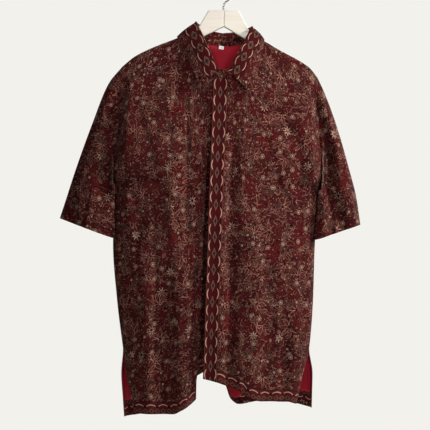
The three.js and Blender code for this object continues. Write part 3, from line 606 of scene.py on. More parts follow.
def motif_cells(tree, place, spacing, shift):
    """Scattered motifs, one in each cell of a random tiling: each point's distance and bearing from the
    middle of its cell's motif, in metres and in turns, with three random numbers of that motif. The bearing
    starts at a random turn."""
    moved = tree.nodes.new("ShaderNodeVectorMath")
    moved.inputs[1].default_value = (shift, 1.7 * shift, 0)
    tree.links.new(place, moved.inputs[0])
    cells = tree.nodes.new("ShaderNodeTexVoronoi")
    cells.voronoi_dimensions = "2D"
    cells.inputs["Scale"].default_value = 1 / spacing
    cells.inputs["Randomness"].default_value = 1.0
    tree.links.new(moved.outputs[0], cells.inputs["Vector"])
    local = tree.nodes.new("ShaderNodeVectorMath")
    local.operation = "SUBTRACT"
    tree.links.new(moved.outputs[0], local.inputs[0])
    tree.links.new(cells.outputs["Position"], local.inputs[1])
    parts = tree.nodes.new("ShaderNodeSeparateXYZ")
    tree.links.new(local.outputs[0], parts.inputs[0])
    x, y = Field(tree, parts.outputs[0]), Field(tree, parts.outputs[1])
    dice = tree.nodes.new("ShaderNodeSeparateColor")
    tree.links.new(cells.outputs["Color"], dice.inputs[0])
    chance = [Field(tree, s) for s in dice.outputs]
    bearing = x.made("ARCTAN2", y, x) / (2 * math.pi) + chance[0]
    return (x * x + y * y).root(), bearing, chance


def petals(reach, bearing, count, length, width):
    """Lance-shaped petals round a middle. A petal's half width is a sine of the way out to its tip, and the
    result is the depth inside its outline and the sideways distance from its rib, both in metres."""
    sideways = abs((bearing * count).part() - 0.5) * (2 * math.pi / count)
    aside = sideways.wave() * reach
    half_width = ((reach / length).at_most(1.0) * math.pi).wave() * width
    return half_width - aside, aside


# Sizes of the print are in metres.
YARN = 0.0007
WAX_WIDTH = 0.0014
OUTLINE_WIDTH = 0.0010
RIB_HALF_WIDTH = 0.00025
TIP_MARGIN = 0.0010
HEART_RADIUS = 0.0032
EYE_RADIUS = 0.0019
WAX_LINE = colour(34, 8, 10)
HEART_BROWN = colour(34, 9, 10)
EYE_TAN = colour(164, 126, 104)

# Small dark sprays, pale star flowers, olive sprays and large red ones, in the order of drawing.
spray_kinds = (
    # spacing, shift, petals, length, half width, share of the round, fill, outline, rarity
    (0.034, 0.21, 6, 0.0120, 0.0024, 0.32, colour(44, 11, 14), colour(170, 114, 98), 0.35),
    (0.070, 0.89, 8, 0.0115, 0.0014, 0.50, colour(178, 136, 118), colour(198, 156, 136), 0.50),
    (0.040, 0.57, 6, 0.0190, 0.0033, 0.33, colour(58, 33, 31), colour(156, 106, 91), 0.28),
    (0.052, 0.13, 7, 0.0260, 0.0040, 0.33, colour(74, 11, 17), colour(178, 126, 109), 0.22),
)
vine_kinds = (
    # frequency, lines from the noise's lowest to its highest, ink, strength
    (30.0, 7, colour(138, 86, 74), 0.85),
    (84.0, 6, colour(140, 92, 80), 0.4),
    (56.0, 6, colour(170, 118, 102), 0.7),
)
blossom_rings = (
    # radius, paint
    (0.0060, colour(34, 9, 10)),
    (0.0051, colour(156, 118, 102)),
    (0.0036, colour(80, 58, 51)),
)


def cotton(name):
    """Matt cotton: its material, tree and shader, the place on the cloth, and the height of a plain weave,
    which is a wave across the warp times a wave across the weft."""
    material, tree, shader = new_material(name, Roughness=0.9, Sheen_Weight=0.02, Sheen_Roughness=0.5,
                                          Specular_IOR_Level=0.08)
    place, u, v = place_on(tree, "UVMap")
    weave = (u * (2 * math.pi / YARN)).wave() * (v * (2 * math.pi / YARN)).wave()
    return material, tree, shader, place, weave


def dyed_ground(tree, place, curled):
    """The dye sinks in unevenly: clouds of lighter and deeper red, dark patches and olive ones, and faint
    marbled lines, which are bands in the fraction of a noise times nine."""
    cloud = noise(tree, place, 13.0, 3.0)
    patch = noise(tree, place, 52.0, 2.0)
    tone = painted(tree, colour(94, 13, 20), colour(58, 10, 15), ((cloud - 0.38) * 3.2).clipped())
    tone = painted(tree, tone, colour(44, 12, 12), ((0.47 - patch) * 12).clipped(high=0.7))
    tone = painted(tree, tone, colour(62, 35, 33), ((patch - 0.58) * 12).clipped(high=0.7))
    marbled = (noise(tree, curled, 44.0, 0.0) * 9).part()
    tone = painted(tree, tone, colour(40, 12, 12), marbled.band(0.35, 0.12, 0.06) * 0.6)
    return painted(tree, tone, colour(108, 56, 48), marbled.band(0.55, 0.06, 0.05) * 0.6)


def sprays(tree, tone, place, drawn):
    """Star flowers with petals all round and sprays of leaves over part of the round. Each petal has a dark
    wax line, a pale outline that is worn in places, a fill and a rib. Each motif has a dark heart, and some
    have a tan eye in it."""
    worn = ((noise(tree, place, 42.0, 0.0) - 0.34) * 4).clipped(low=0.35)
    for spacing, shift, count, length, width, share, fill, outline, rarity in spray_kinds:
        reach, bearing, chance = motif_cells(tree, drawn, spacing, shift)
        inside, aside = petals(reach, bearing, count, length, width)
        fan = abs((bearing + 0.5).part() - 0.5) < share
        shown = (chance[1] > rarity) * fan.at_least(reach < 0.0030) * (reach < length + TIP_MARGIN)
        rib = (aside < RIB_HALF_WIDTH) * (reach > 0.4 * length) * (inside > 0.0)
        tone = painted(tree, tone, WAX_LINE, (inside > -WAX_WIDTH) * shown * 0.9)
        tone = painted(tree, tone, outline, (inside > 0.0) * shown * worn)
        tone = painted(tree, tone, fill, (inside > OUTLINE_WIDTH) * shown)
        tone = painted(tree, tone, outline, rib * shown * 0.6)
        tone = painted(tree, tone, HEART_BROWN, (reach < HEART_RADIUS) * shown)
        tone = painted(tree, tone, EYE_TAN, (reach < EYE_RADIUS) * shown * (chance[2] > 0.4))
    return tone


def vines(tree, tone, place, curled):
    """Winding lines in dark wax, which are bands in the fraction of a noise times a few turns, broken off
    where another noise runs low."""
    for scale, turns, ink, strength in vine_kinds:
        vine = (noise(tree, curled, scale, 0.0) * turns).part()
        unbroken = ((noise(tree, place, scale * 1.9, 0.0) - 0.56) * 14).clipped()
        tone = painted(tree, tone, colour(38, 8, 10), vine.band(0.5, 0.20, 0.06) * unbroken * 0.7)
        tone = painted(tree, tone, ink, vine.band(0.5, 0.08, 0.03) * unbroken * strength)
    return tone


def blossoms(tree, tone, drawn):
    """Scattered dots, then small round blossoms, then larger ones, whose rings have a radius that waves six
    times round."""
    reach, _, chance = motif_cells(tree, drawn, 0.0110, 0.31)
    tone = painted(tree, tone, colour(176, 138, 122), (reach < 0.0011) * (chance[1] > 0.6) * 0.9)

    reach, _, chance = motif_cells(tree, drawn, 0.025, 0.47)
    shown = chance[1] > 0.84
    tone = painted(tree, tone, colour(36, 9, 10), (reach < 0.0037) * shown)
    tone = painted(tree, tone, colour(166, 130, 114), (reach < 0.0027) * shown)

    reach, bearing, chance = motif_cells(tree, drawn, 0.040, 0.71)
    shown = chance[1] > 0.45
    scallop = reach + (bearing * (2 * math.pi * 6)).wave() * 0.0006
    for radius, paint in blossom_rings:
        tone = painted(tree, tone, paint, (scallop < radius) * shown)
    return painted(tree, tone, colour(190, 152, 134), (reach < 0.0019) * shown)


def printed(name, border=False):
    """Batik: wax-drawn star flowers, sprays, vines and blossoms over a deep red ground, with a border at the
    hem where one is asked for, on a fine plain weave with uneven yarns and faint puckers. Smooth noise pushes
    the motifs' lines about by a few millimetres, and the vines' by more."""
    material, tree, shader, place, weave = cotton(name)
    drawn = warped(tree, place, 0.005, 40.0)
    curled = warped(tree, place, 0.012, 48.0)
    tone = dyed_ground(tree, place, curled)
    tone = sprays(tree, tone, place, drawn)
    tone = vines(tree, tone, place, curled)
    tone = blossoms(tree, tone, drawn)
    if border:
        _, along_hem, up = place_on(tree, "Band")
        tone = hem_border(tree, tone, along_hem, up)
    tree.links.new(tone, shader.inputs["Base Color"])
    slub = noise(tree, place, 420.0, 2.0)
    pucker = noise(tree, place, 60.0, 3.0)
    bumped(tree, shader, weave * 0.25 + slub * 0.6 + pucker * 3.0, 0.0004)
    return material


def chain(tree, tone, along_band, off, period, half_length, half_width):
    """A chain of diamonds along a band's middle, one for each period: taupe with a thin tan outline and a
    dark heart. A point's depth inside is 1 less its shares of both half sizes."""
    past_middle = abs((along_band / period).part() - 0.5) * period
    ahead = abs(past_middle - period / 2)
    depth = 1 - ahead / half_length - abs(off) / half_width
    for least, paint, strength in (
        (-0.16, colour(36, 13, 12), 0.9),
        (0.0, colour(130, 94, 80), 1.0),
        (0.16, colour(86, 60, 52), 1.0),
        (0.62, colour(44, 17, 15), 1.0),
    ):
        tone = painted(tree, tone, paint, (depth > least) * strength)
    return tone


HEM_BAND = 0.026
HEM_SCALLOP = 0.027


def hem_border(tree, tone, along_hem, up):
    """The printed border at a hem: a maroon band with a chain of diamonds under one row of pale scallops. The
    scallops' line is a rounded wave of the way along, and it is drawn pale where the wave is high."""
    band = up < HEM_BAND
    ground = painted(tree, tone, colour(88, 24, 26), band)
    wave = abs((along_hem * (math.pi / HEM_SCALLOP)).wave())
    line = abs(up - (wave * 0.0055 + 0.0150))
    drawn = painted(tree, ground, colour(36, 13, 13), line < 0.0020)
    drawn = painted(tree, drawn, colour(198, 152, 135), (line < 0.0011) * (wave > 0.38))
    drawn = chain(tree, drawn, along_hem, up - 0.0070, HEM_SCALLOP / 2, 0.0062, 0.0056)
    drawn = painted(tree, drawn, colour(40, 15, 14), up.band(0.0255, 0.0008, 0.0003))
    tone = painted(tree, ground, drawn, band)
    return painted(tree, tone, colour(58, 22, 21), up.band(0.0275, 0.0004, 0.0004) * 0.8)


def satin(name):
    """Crimson lining: a smooth twill, which is a wave along the cloth's diagonal, with a soft sheen and faint
    wrinkles."""
    material, tree, shader = new_material(name, Roughness=0.55, Sheen_Weight=0.04, Sheen_Roughness=0.35,
                                          Specular_IOR_Level=0.25)
    place, u, v = place_on(tree, "UVMap")
    cloud = noise(tree, place, 22.0, 3.0)
    tone = painted(tree, colour(188, 28, 50), colour(170, 22, 44), (cloud - 0.3) * 1.6)
    tree.links.new(tone, shader.inputs["Base Color"])
    twill = ((u + v) * (2 * math.pi / 0.0006)).wave()
    bumped(tree, shader, twill * 0.2 + noise(tree, place, 45.0, 3.0) * 2.5, 0.0004)
    return material


TURN_UP_SHARE = 0.045  # of the back's rows
TURN_UP_GAP = 0.5
TURN_UP = 0.6  # thickness
TURN_UP_PRINT = (0.011, 0.037)  # place in the border print at the hem's fold, in metres along and up

batik_with_hem = printed("batik_with_hem_border", border=True)
crimson = satin("crimson_lining")
back_right = back_half(-1)
back_left = back_half(1)
back_grid = np.concatenate([back_right[:, ::-1], back_left[:, 1:]], axis=1)
back = skin("back_cloth", back_grid / 1000, uv=cloth_map(back_grid, PANEL_COLUMNS), band=hem_map(back_grid))
facing(back, (0, 1, 0))
back.data.materials.append(batik_with_hem)
back.data.materials.append(crimson)
thick(back, CLOTH, inner_slot=1)
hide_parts("back")
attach(back, "root")

# The turned-up band is narrower where the hem is caught up, by a bell along x and a weaker, broader one. The
# border print is upside down on it, and begins some way above the fold.
hem_x = back_grid[-1, :, 0]
caught = np.exp(-((hem_x - 20) / 26) ** 2) + 0.4 * np.exp(-((hem_x - 118) / 40) ** 2)
turned_rows = PANEL_ROWS * TURN_UP_SHARE * (1 - 0.68 * caught)
inner_side = stood_off(back_grid, (0, -1, 0), CLOTH + TURN_UP_GAP)
turned_grid = rows_between(inner_side, PANEL_ROWS - turned_rows, PANEL_ROWS, 8)[:, 1:-1]
turned_band = np.array(TURN_UP_PRINT) + hem_map(turned_grid) * (1, -1)
back_turn_up = skin("back_turned_hem", turned_grid / 1000, uv=cloth_map(turned_grid), band=turned_band)
facing(back_turn_up, (0, -1, 0))
back_turn_up.data.materials.append(batik_with_hem)
thick(back_turn_up, TURN_UP)
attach(back_turn_up, "root")

# ---- Back's lining ----
# A thin crimson lining of smooth twill, cut like the back. It is sewn in at the neck and the sides, hangs
# free of the back, and stops just above the turned-up hem.

LINING = 0.6  # thickness
LINING_GAP = 2.3  # from the back's inner side to the lining's face
LINING_ROWS = 131
LINING_INSET = 3  # columns left for the side seams

# Its top edge keeps to the neck seam for a few columns at the middle and then dips below it by an ease from
# 0 to 1, and its lower edge follows the turned-up hem's.
columns_out = np.abs(np.arange(back_grid.shape[1]) - PANEL_COLUMNS)
lining_top = 1 + 11 * smooth((columns_out - 6) / 8)
lining_bottom = PANEL_ROWS - turned_rows + 0.5
lining_side = stood_off(back_grid, (0, -1, 0), CLOTH + LINING_GAP)
lining_grid = rows_between(lining_side, lining_top, lining_bottom, LINING_ROWS)[:, LINING_INSET:-LINING_INSET]
lining_map = cloth_map(lining_grid, PANEL_COLUMNS - LINING_INSET)
lining = skin("back_lining_cloth", lining_grid / 1000, uv=lining_map)
facing(lining, (0, -1, 0))
lining.data.materials.append(crimson)
thick(lining, LINING)
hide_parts("back_lining")
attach(lining, "root")

# ---- Neck label ----
# A small white woven tape with nothing on it, folded under at its ends. It is stitched to the lining inside
# the neck, a little askew.

LABEL = dict(x=-4.5, z=-140.5, width=11, height=7.5, lean=9, thickness=0.4, bow=0.5)


def label_grid():
    """A rectangle leaning in its own plane, and bowed forwards by a cosine of the way across and up."""
    across, up = np.meshgrid(np.linspace(-0.5, 0.5, 23), np.linspace(0.5, -0.5, 17))
    bow = LABEL["bow"] * np.cos(across * np.pi) * np.cos(up * np.pi)
    across, up = across * LABEL["width"], up * LABEL["height"]
    lean = math.radians(LABEL["lean"])
    x = LABEL["x"] + across * math.cos(lean) + up * math.sin(lean)
    z = LABEL["z"] + up * math.cos(lean) - across * math.sin(lean)
    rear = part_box("neck_label")[1][1] * 1000
    return np.stack([x, rear - 0.3 - bow, z], axis=2)


def label_satin(name):
    """White ribbed tape with a row of tan stitches just inside its edge."""
    # The faint white glow is painted light, which keeps the label white in the shade inside the neck.
    material, tree, shader = new_material(name, Roughness=0.6, Emission_Strength=0.3)
    _, u, v = place_on(tree, "UVMap")
    ribs = (v * (2 * math.pi / 0.0006)).wave()
    past_seam = (abs(u - 0.0055) - 0.0048).at_least(abs(v - 0.0038) - 0.0030)
    stitch = (past_seam > -0.0004) * (((u + v) / 0.0012).part() < 0.55)
    tone = painted(tree, colour(252, 250, 247), colour(206, 198, 188), stitch)
    tree.links.new(tone, shader.inputs["Base Color"])
    bumped(tree, shader, ribs, 0.00008)
    return material


label_flat = np.stack(np.meshgrid(
    np.linspace(0, LABEL["width"], 23), np.linspace(0, LABEL["height"], 17)), axis=2) / 1000
label = skin("neck_label_tab", label_grid() / 1000, uv=label_flat)
facing(label, (0, -1, 0))
label.data.materials.append(label_satin("label_satin"))
thick(label, LABEL["thickness"])
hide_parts("neck_label")
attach(label, "root")

# ---- Fronts ----
# Two printed cotton fronts. The wearer's left one laps over the right, which has a rounded lower corner,
# and both have the border print along the hem.

LAP_STEP = 3.5
PLACKET_WIDTH = 32
NECK_END = {-1: -9, 1: -17}  # the turn at which a front's neck edge ends, past the middle

lap = np.array([
    # z, edge x, how far the hidden edge reaches past it
    (-955, -47.5, -13), (-875, -45, -14), (-830, -43.6, -4), (-760, -41.5, 18), (-640, -37.5, 31),
    (-200, -22.5, 34),
])
right_front_hem = np.array([
    # x, z
    (-196, -945), (-113, -946), (-93.5, -938), (-71.5, -924), (-58, -912),
])
left_front_hem = np.array([
    # x, z
    (-47, -866.5), (-16.5, -875), (3.3, -882), (34, -894), (52, -908), (84.7, -917.5), (133, -918),
    (160, -925),
])
right_front_folds = np.array([
    # x1, z1, x2, z2, width, lift
    (-30, -250, -52, -890, 7.5, -15),
    (-50, -460, -60, -900, 13, -9), (-128, -600, -128, -960, 17, -11), (-95, -500, -92, -960, 18, 6),
    (-172, -520, -168, -960, 18, 6), (-80, -230, -76, -470, 13, -4), (-160, -260, -120, -470, 20, 4),
    (-208, -300, -214, -430, 16, 5),
])
right_front_creases = np.array([
    # x1, z1, x2, z2, width, lift
    (-82, -205, -80, -540, 5, -2.2), (-112, -300, -108, -640, 7, 1.8), (-150, -560, -148, -900, 6, -2.6),
    (-186, -480, -190, -800, 6, -2.0), (-205, -430, -180, -520, 6, -1.8), (-60, -430, -64, -760, 6, 2.0),
    (-108, -680, -110, -940, 5, -2.4), (-76, -700, -80, -930, 5, 2.2), (-200, -250, -170, -330, 8, -1.6),
    (-140, -180, -120, -260, 9, 1.4), (-62, -260, -58, -400, 6, -1.6), (-196, -700, -190, -930, 6, 1.6),
])
left_front_folds = np.array([
    # x1, z1, x2, z2, width, lift
    (-26, -225, -47, -890, 11, 5.0),
    (24, -290, 14, -780, 12, -7), (64, -430, 60, -960, 18, 6), (106, -640, 100, -960, 14, -5),
    (134, -700, 131, -960, 13, -9), (92, -250, 168, -370, 14, -5), (150, -400, 168, -960, 18, 5),
    (184, -270, 196, -430, 16, 5),
])
left_front_creases = np.array([
    # x1, z1, x2, z2, width, lift
    (20, -320, 10, -620, 5, -2.6), (46, -240, 40, -520, 6, 1.8), (102, -400, 138, -470, 6, -2.2),
    (76, -330, 116, -400, 7, -1.8), (92, -560, 86, -900, 6, -2.2), (120, -500, 122, -780, 7, 1.8),
    (166, -480, 172, -760, 6, -2.0), (24, -560, 8, -860, 6, -2.6), (40, -700, 34, -890, 5, 2.2),
    (180, -380, 150, -440, 6, -1.8), (150, -240, 176, -300, 8, 1.6), (196, -560, 188, -740, 5, 1.6),
    (60, -200, 84, -260, 8, -1.6),
])


def lap_step(x, z):
    """The right front steps back where the left one covers it: an ease from 0 to 1 over 37 mm, which starts
    45 mm short of the left front's edge."""
    return LAP_STEP * smooth((x - curve(lap[:, 0], lap[:, 1], z) + 45) / 37)


def right_front_x(columns, z):
    """The lines spread to the side from the hidden edge, which reaches under the left front."""
    edge = curve(lap[:, 0], lap[:, 1], z) + curve(lap[:, 0], lap[:, 2], z)
    return edge + (side_x(-1, -1, z) - edge) * crowded(columns / LINES)


def left_front_x(columns, z):
    """The first two columns are the band's width, and the rest spread to the side."""
    edge = curve(lap[:, 0], lap[:, 1], z)
    inner = edge + PLACKET_WIDTH * np.minimum(columns / 2, 1)
    way = crowded(np.clip((columns - 2) / (LINES - 2), 0, 1))
    return inner + (side_x(1, -1, z) - edge - PLACKET_WIDTH) * way


right_grid = panel(-1, -1, [NECK_END[-1], 7, 27, 48, 69, 90], right_front_hem, right_front_x,
                   right_front_folds, right_front_creases, seed=23, behind=lap_step)
left_grid = panel(1, -1, [NECK_END[1], -5, 8, 34, 62, 90], left_front_hem, left_front_x,
                  left_front_folds, left_front_creases, seed=37)

for cloth_name, node_name, arm, grid, way in (
    ("right_front_cloth", "right_front", "hanger_right_half", right_grid, -1),
    ("left_front_cloth", "left_front", "hanger_left_half", left_grid, 1),
):
    front = skin(cloth_name, grid / 1000, uv=cloth_map(grid, way=way), band=hem_map(grid))
    facing(front, (0, -1, 0))
    front.data.materials.append(batik_with_hem)
    front.data.materials.append(crimson)
    thick(front, CLOTH, inner_slot=1)
    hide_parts(node_name)
    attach(front, "root")

# ---- Placket ----
# The hidden-button band: a folded strip of the border print, stitched down the left front's lapping edge.
# The buttons would be under it, so none shows.

BAND_PERIOD = 0.035
STITCH = 0.0028
PLACKET_POINTS = 25
PLACKET_OUT = 1.6  # from the front's cloth
PLACKET_LIFT = 1.3  # of the free edge


def strip_on(grid, width, count):
    """Grid of the strip beside a grid's first column, read on each row at even walks across it: a point lies
    between the two columns that its walk falls between, at its share of their distance."""
    walked = walked_across(grid)
    at = np.linspace(0, width, count)
    before = (walked[:, None, 1:-1] <= at[:, None]).sum(axis=2)
    row = np.arange(len(grid))[:, None]
    share = ((at - walked[row, before]) / (walked[row, before + 1] - walked[row, before]))[..., None]
    return grid[row, before] * (1 - share) + grid[row, before + 1] * share


def brackets(tree, tone, along_band, off, base, swing, ink):
    """A pair of bowed brackets either side of a band's middle, one for each period. A bracket stands off by
    base plus swing times a rounded wave of the way along, and is drawn pale over the wave's crest alone."""
    wave = abs((along_band * (math.pi / BAND_PERIOD)).wave())
    crest = ((wave - 0.46) * 3.6).clipped()
    line = abs(off - (wave * swing + base))
    tone = painted(tree, tone, colour(34, 11, 11), (line < ink * 2.2) * 0.85)
    tone = painted(tree, tone, colour(104, 46, 42), line < ink * 0.55)
    return painted(tree, tone, colour(200, 149, 131), line < crest * ink)


def border_band(name):
    """The border print along a band: brackets either side of a chain of diamonds, with a line and a row of
    stitches at each edge. Band coordinates run along it and across it from its middle."""
    material, tree, shader, place, weave = cotton(name)
    _, along_band, across = place_on(tree, "Band")
    off = abs(across)
    cloud = noise(tree, place, 24.0, 3.0)
    tone = painted(tree, colour(73, 13, 16), colour(44, 13, 14), (cloud - 0.35) * 1.8)
    tone = chain(tree, tone, along_band, across, BAND_PERIOD, 0.0130, 0.0052)
    tone = brackets(tree, tone, along_band, off, 0.0064, 0.0066, 0.0010)
    tone = painted(tree, tone, colour(112, 62, 54), off.band(0.0146, 0.0005, 0.0003) * 0.8)
    tree.links.new(tone, shader.inputs["Base Color"])
    stitch = off.band(0.0142, 0.0003, 0.0002) * ((along_band / STITCH).part() < 0.7)
    pucker = noise(tree, place, 60.0, 3.0)
    bumped(tree, shader, weave * 0.25 + stitch * 1.5 + pucker * 2.5, 0.0004)
    return material


# Its free edge curls off the front by a falling exponential of the way in, more and less by turns down it.
placket_grid = stood_off(strip_on(left_grid, PLACKET_WIDTH, PLACKET_POINTS), (0, -1, 0), PLACKET_OUT)
placket_walk = np.linspace(-0.5, 0.5, PLACKET_POINTS) * PLACKET_WIDTH
curl = np.exp(-(placket_walk + PLACKET_WIDTH / 2) / 5) * (1 + 0.5 * np.sin(placket_grid[..., 2] / 47))
placket_grid[..., 1] -= PLACKET_LIFT * curl
placket_map = np.stack([placket_grid[..., 2], np.broadcast_to(placket_walk, placket_grid.shape[:2])], axis=2)
placket = skin("placket_band", placket_grid / 1000, uv=cloth_map(placket_grid), band=placket_map / 1000)
facing(placket, (0, -1, 0))
placket.data.materials.append(border_band("placket_border_print"))
thick(placket, CLOTH)
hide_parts("placket")
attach(placket, "root")

# ---- Sleeves ----
# Two short set-in sleeves of the printed cotton, each a tube closed by a seam under the arm, with a
# plain turned hem at the cuff.

SLEEVE_ROWS = 110
ARMHOLE_ROWS = int(round(PANEL_ROWS * ARMHOLE_SHARE))
SLEEVE_SAG = {-1: 0.36, 1: 0.16}  # share of its depth that a sleeve's front wall loses, by side
SLEEVE_CREASE_STRENGTH = 1.8
INNER_SWING = 22  # of the inner line, forwards
INNER_LAP = 7  # of the inner line, over the body's side
PRINT_SHIFT = 0.7  # in metres, so that the sleeves show another part of the print than the fronts
sleeve_rings = {
    # share of the length, top x, top z, low x, low z, depth
    -1: np.array([(0, -222, -185, -241, -437, 44), (0.14, -252, -222, -242.8, -456, 45),
                  (0.4, -289, -312, -243.6, -487, 46), (0.7, -327, -417.5, -244.3, -526, 44),
                  (0.86, -344, -470, -244.5, -545, 42), (1, -360, -519, -244.6, -562, 40)]),
    1: np.array([(0, 206, -209, 214, -447, 44), (0.08, 219, -236, 213.8, -458, 45),
                 (0.32, 247.5, -312, 211.8, -483, 46), (0.66, 278, -417.5, 208.3, -524, 44),
                 (0.83, 291.5, -470, 206, -546, 42), (1, 301, -533, 204, -566, 40)]),
}
sleeve_folds = np.array([
    # x1, z1, x2, z2, width, lift
    (-236, -205, -250, -360, 16, -10), (-250, -340, -252, -450, 14, -9), (-288, -380, -312, -540, 16, 5),
    (208, -205, 221, -350, 14, -20), (221, -320, 236, -470, 15, -22), (236, -440, 264, -550, 13, -15),
    (222, -420, 226, -520, 10, 4),
])
sleeve_creases = np.array([
    # x1, z1, x2, z2, width, lift
    (-250, -230, -290, -330, 6, -2.4), (-275, -300, -318, -470, 6, 2.2), (-300, -400, -336, -510, 5, -2.0),
    (-258, -420, -268, -540, 5, -2.4), (-244, -260, -250, -380, 5, 2.0), (-284, -440, -300, -545, 5, 2.2),
    (228, -260, 262, -390, 5, -2.4), (262, -380, 288, -520, 6, 2.2), (236, -420, 244, -540, 5, 2.4),
    (248, -300, 276, -420, 5, 1.8), (214, -300, 220, -420, 5, -2.0), (280, -440, 292, -530, 4, -1.8),
])


def sleeve_grid(side, front_grid, rear_grid):
    """Rings of a tube. A point's angle runs from the outer line over the front to the inner line and back
    over the rear, its height between the two lines is half of 1 plus the angle's cosine, and its depth is the
    ring's depth times the sine to 0.85. The first third eases from the armhole's own edge. Over the first
    eighth the inner line swings forwards, to lap a little over the body's side."""
    front, rear = front_grid[:ARMHOLE_ROWS + 1, -1], rear_grid[:ARMHOLE_ROWS + 1, -1]
    seam = np.concatenate([front, rear[-2:0:-1]])
    half = np.linspace(0, np.pi, ARMHOLE_ROWS + 1)
    angle = np.concatenate([half, 2 * np.pi - half[-2:0:-1]])
    way = np.linspace(0, 1, SLEEVE_ROWS + 1)[:, None]
    rings = sleeve_rings[side]
    top_x, top_z, low_x, low_z, depth = (curve(rings[:, 0], rings[:, k], way) for k in range(1, 6))
    up = (1 + np.cos(angle)) / 2
    x = low_x + (top_x - low_x) * up
    z = low_z + (top_z - low_z) * up
    creased = SLEEVE_CREASE_STRENGTH * folded(sleeve_creases, x, z, fade=60.0, sway=0.4)
    lift = folded(sleeve_folds, x, z) + creased + crumple(x, z, 51, 0.8)
    over_front = angle <= np.pi
    flatter = np.where(over_front, 1 - SLEEVE_SAG[side] * smooth(way * 3), 1)
    sine = np.abs(np.sin(angle))
    y = np.where(over_front, -1, 1) * (depth * flatter * sine ** 0.85) - np.sin(angle) * lift
    y = seam[:, 1] + (y - seam[:, 1]) * smooth(np.minimum(1, way * 3))
    swing = smooth(way / 0.12)
    y = y - INNER_SWING * swing * (1 - up) ** 2
    x = x - side * INNER_LAP * swing * np.exp(-((angle - np.pi + 0.12) / 0.24) ** 2)
    x = x + side * 0.4 * np.exp(-way * 60)
    return np.stack([x, y, z], axis=2)


def sleeve_map(grid):
    """Place on the flat sleeve, in metres: how far along the outer line a point lies, and the distance walked
    round a ring as deep as the cuff, counting only steps square to that line."""
    flat = grid[..., [0, 2]] - grid[0, 0, [0, 2]]
    outer = flat[-1, 0] / np.linalg.norm(flat[-1, 0])
    length = flat @ outer
    square = flat @ np.array([-outer[1], outer[0]])
    square = square * np.sign(square[-1, grid.shape[1] // 2])
    steps = np.hypot(np.diff(square, axis=1), np.diff(grid[-1:, :, 1], axis=1))
    walked = np.concatenate([square[:, :1], square[:, :1] + np.cumsum(steps, axis=1)], axis=1)
    return np.stack([walked, -length], axis=2) / 1000


batik = printed("batik_print")
for side, cloth_name, node_name, front_name, front_grid, rear_grid, cut_area in (
    (-1, "right_sleeve_cloth", "right_sleeve", "right_front_cloth", right_grid, back_right, 0.088),
    (1, "left_sleeve_cloth", "left_sleeve", "left_front_cloth", left_grid, back_left, 0.078),
):
    grid = sleeve_grid(side, front_grid, rear_grid)
    wrapped = np.concatenate([grid, grid[:, :1]], axis=1)
    unmirrored = sleeve_map(wrapped) * (side, 1) + PRINT_SHIFT
    sleeve = skin(cloth_name, grid / 1000, closed_across=True, uv=unmirrored, band=hem_map(wrapped))
    facing_out(sleeve, grid)
    sleeve.data.materials.append(batik)
    thick(sleeve, CLOTH)
    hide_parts(node_name)
    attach(sleeve, "root")

# ---- Collar's stand ----
# The band of printed cotton round the neck, from which the collar turns down. It is sewn into the neck
# seam, and its ends cross at the front.

NECK_MIDDLE = (-2, 0, 0)
STAND_BELLY = 0.8
STAND_RISE = 0.8  # of its lower edge over the neck seam
fold_line = {
    # turn, x, y, z
    -1: np.array([(0, 0, -55, -196), (10, -10.0, -54.5, -196), (30, -27, -50, -163), (60, -45, -33, -123),
                  (90, -60, -6, -89.5), (120, -52, 24, -94), (150, -30, 41, -105), (180, -2, 46, -110.5)]),
    1: np.array([(0, 0, -55, -196), (10, 10.0, -54.5, -198), (30, 29, -50, -166), (60, 47, -33, -131),
                 (90, 62, -6, -100), (120, 53, 24, -102), (150, 29, 41, -108), (180, -2, 46, -110.5)]),
}


def round_neck(table, right, left):
    """Points at turns up the right side and down the left one, read from a table of both. Before the first
    turn, at the front's middle, x runs on past it."""
    halves = []
    for side, turn in ((-1, right), (1, left)):
        knots = table[side]
        x, y, z = (curve(knots[:, 0], knots[:, k], np.maximum(turn, 0)) for k in (1, 2, 3))
        halves.append(np.stack([x + np.minimum(turn, 0) * side * PAST_MIDDLE, y, z], axis=1))
    return np.concatenate(halves)


def away_from_neck(points, squash):
    """Level unit directions out from the neck's middle, with y stretched by a factor."""
    outwards = np.stack([points[:, 0], points[:, 1] * squash, 0 * points[:, 0]], axis=1)
    return outwards / np.linalg.norm(outwards, axis=1)[:, None]


def facing_from_neck(made, grid):
    """Faces a collar piece away from the neck's middle."""
    facing(made, ((grid - NECK_MIDDLE) * (1, 1, 0))[:-1, :-1].reshape(-1, 3))


def stand_grid():
    """Rows from the fold line down to the neck seam. The right end steps back behind the left one, at its
    upper edge by an ease from 0 to 1 over 16 degrees. The band bellies out by a sine of the way down."""
    right, left = np.linspace(NECK_END[-1], 180, 150), np.linspace(180, NECK_END[1], 155)[1:]
    low = round_neck(neck_seam, right, left)
    high = round_neck(fold_line, right, left)
    under = slice(len(right))
    low[under, 1] += np.where(right < 90, lap_step(low[under, 0], low[under, 2]), 0)
    high[under, 1] += LAP_STEP * smooth((20 - right) / 16)
    low[:, 2] += STAND_RISE
    way = np.linspace(0, 1, 17)[:, None, None]
    return high + (low - high) * way + away_from_neck(low, 1.2) * STAND_BELLY * np.sin(way * np.pi)


stand_points = stand_grid()
stand = skin("collar_stand_band", stand_points / 1000, uv=cloth_map(stand_points), band=hem_map(stand_points))
facing_from_neck(stand, stand_points)
stand.data.materials.append(batik)
thick(stand, CLOTH)
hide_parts("collar_stand")
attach(stand, "root")

# ---- Collar's leaf ----
# The turned-down collar: two layers of cotton with the border print along the fold, rolled over the
# stand and stitched near its edges, with a point at each front.

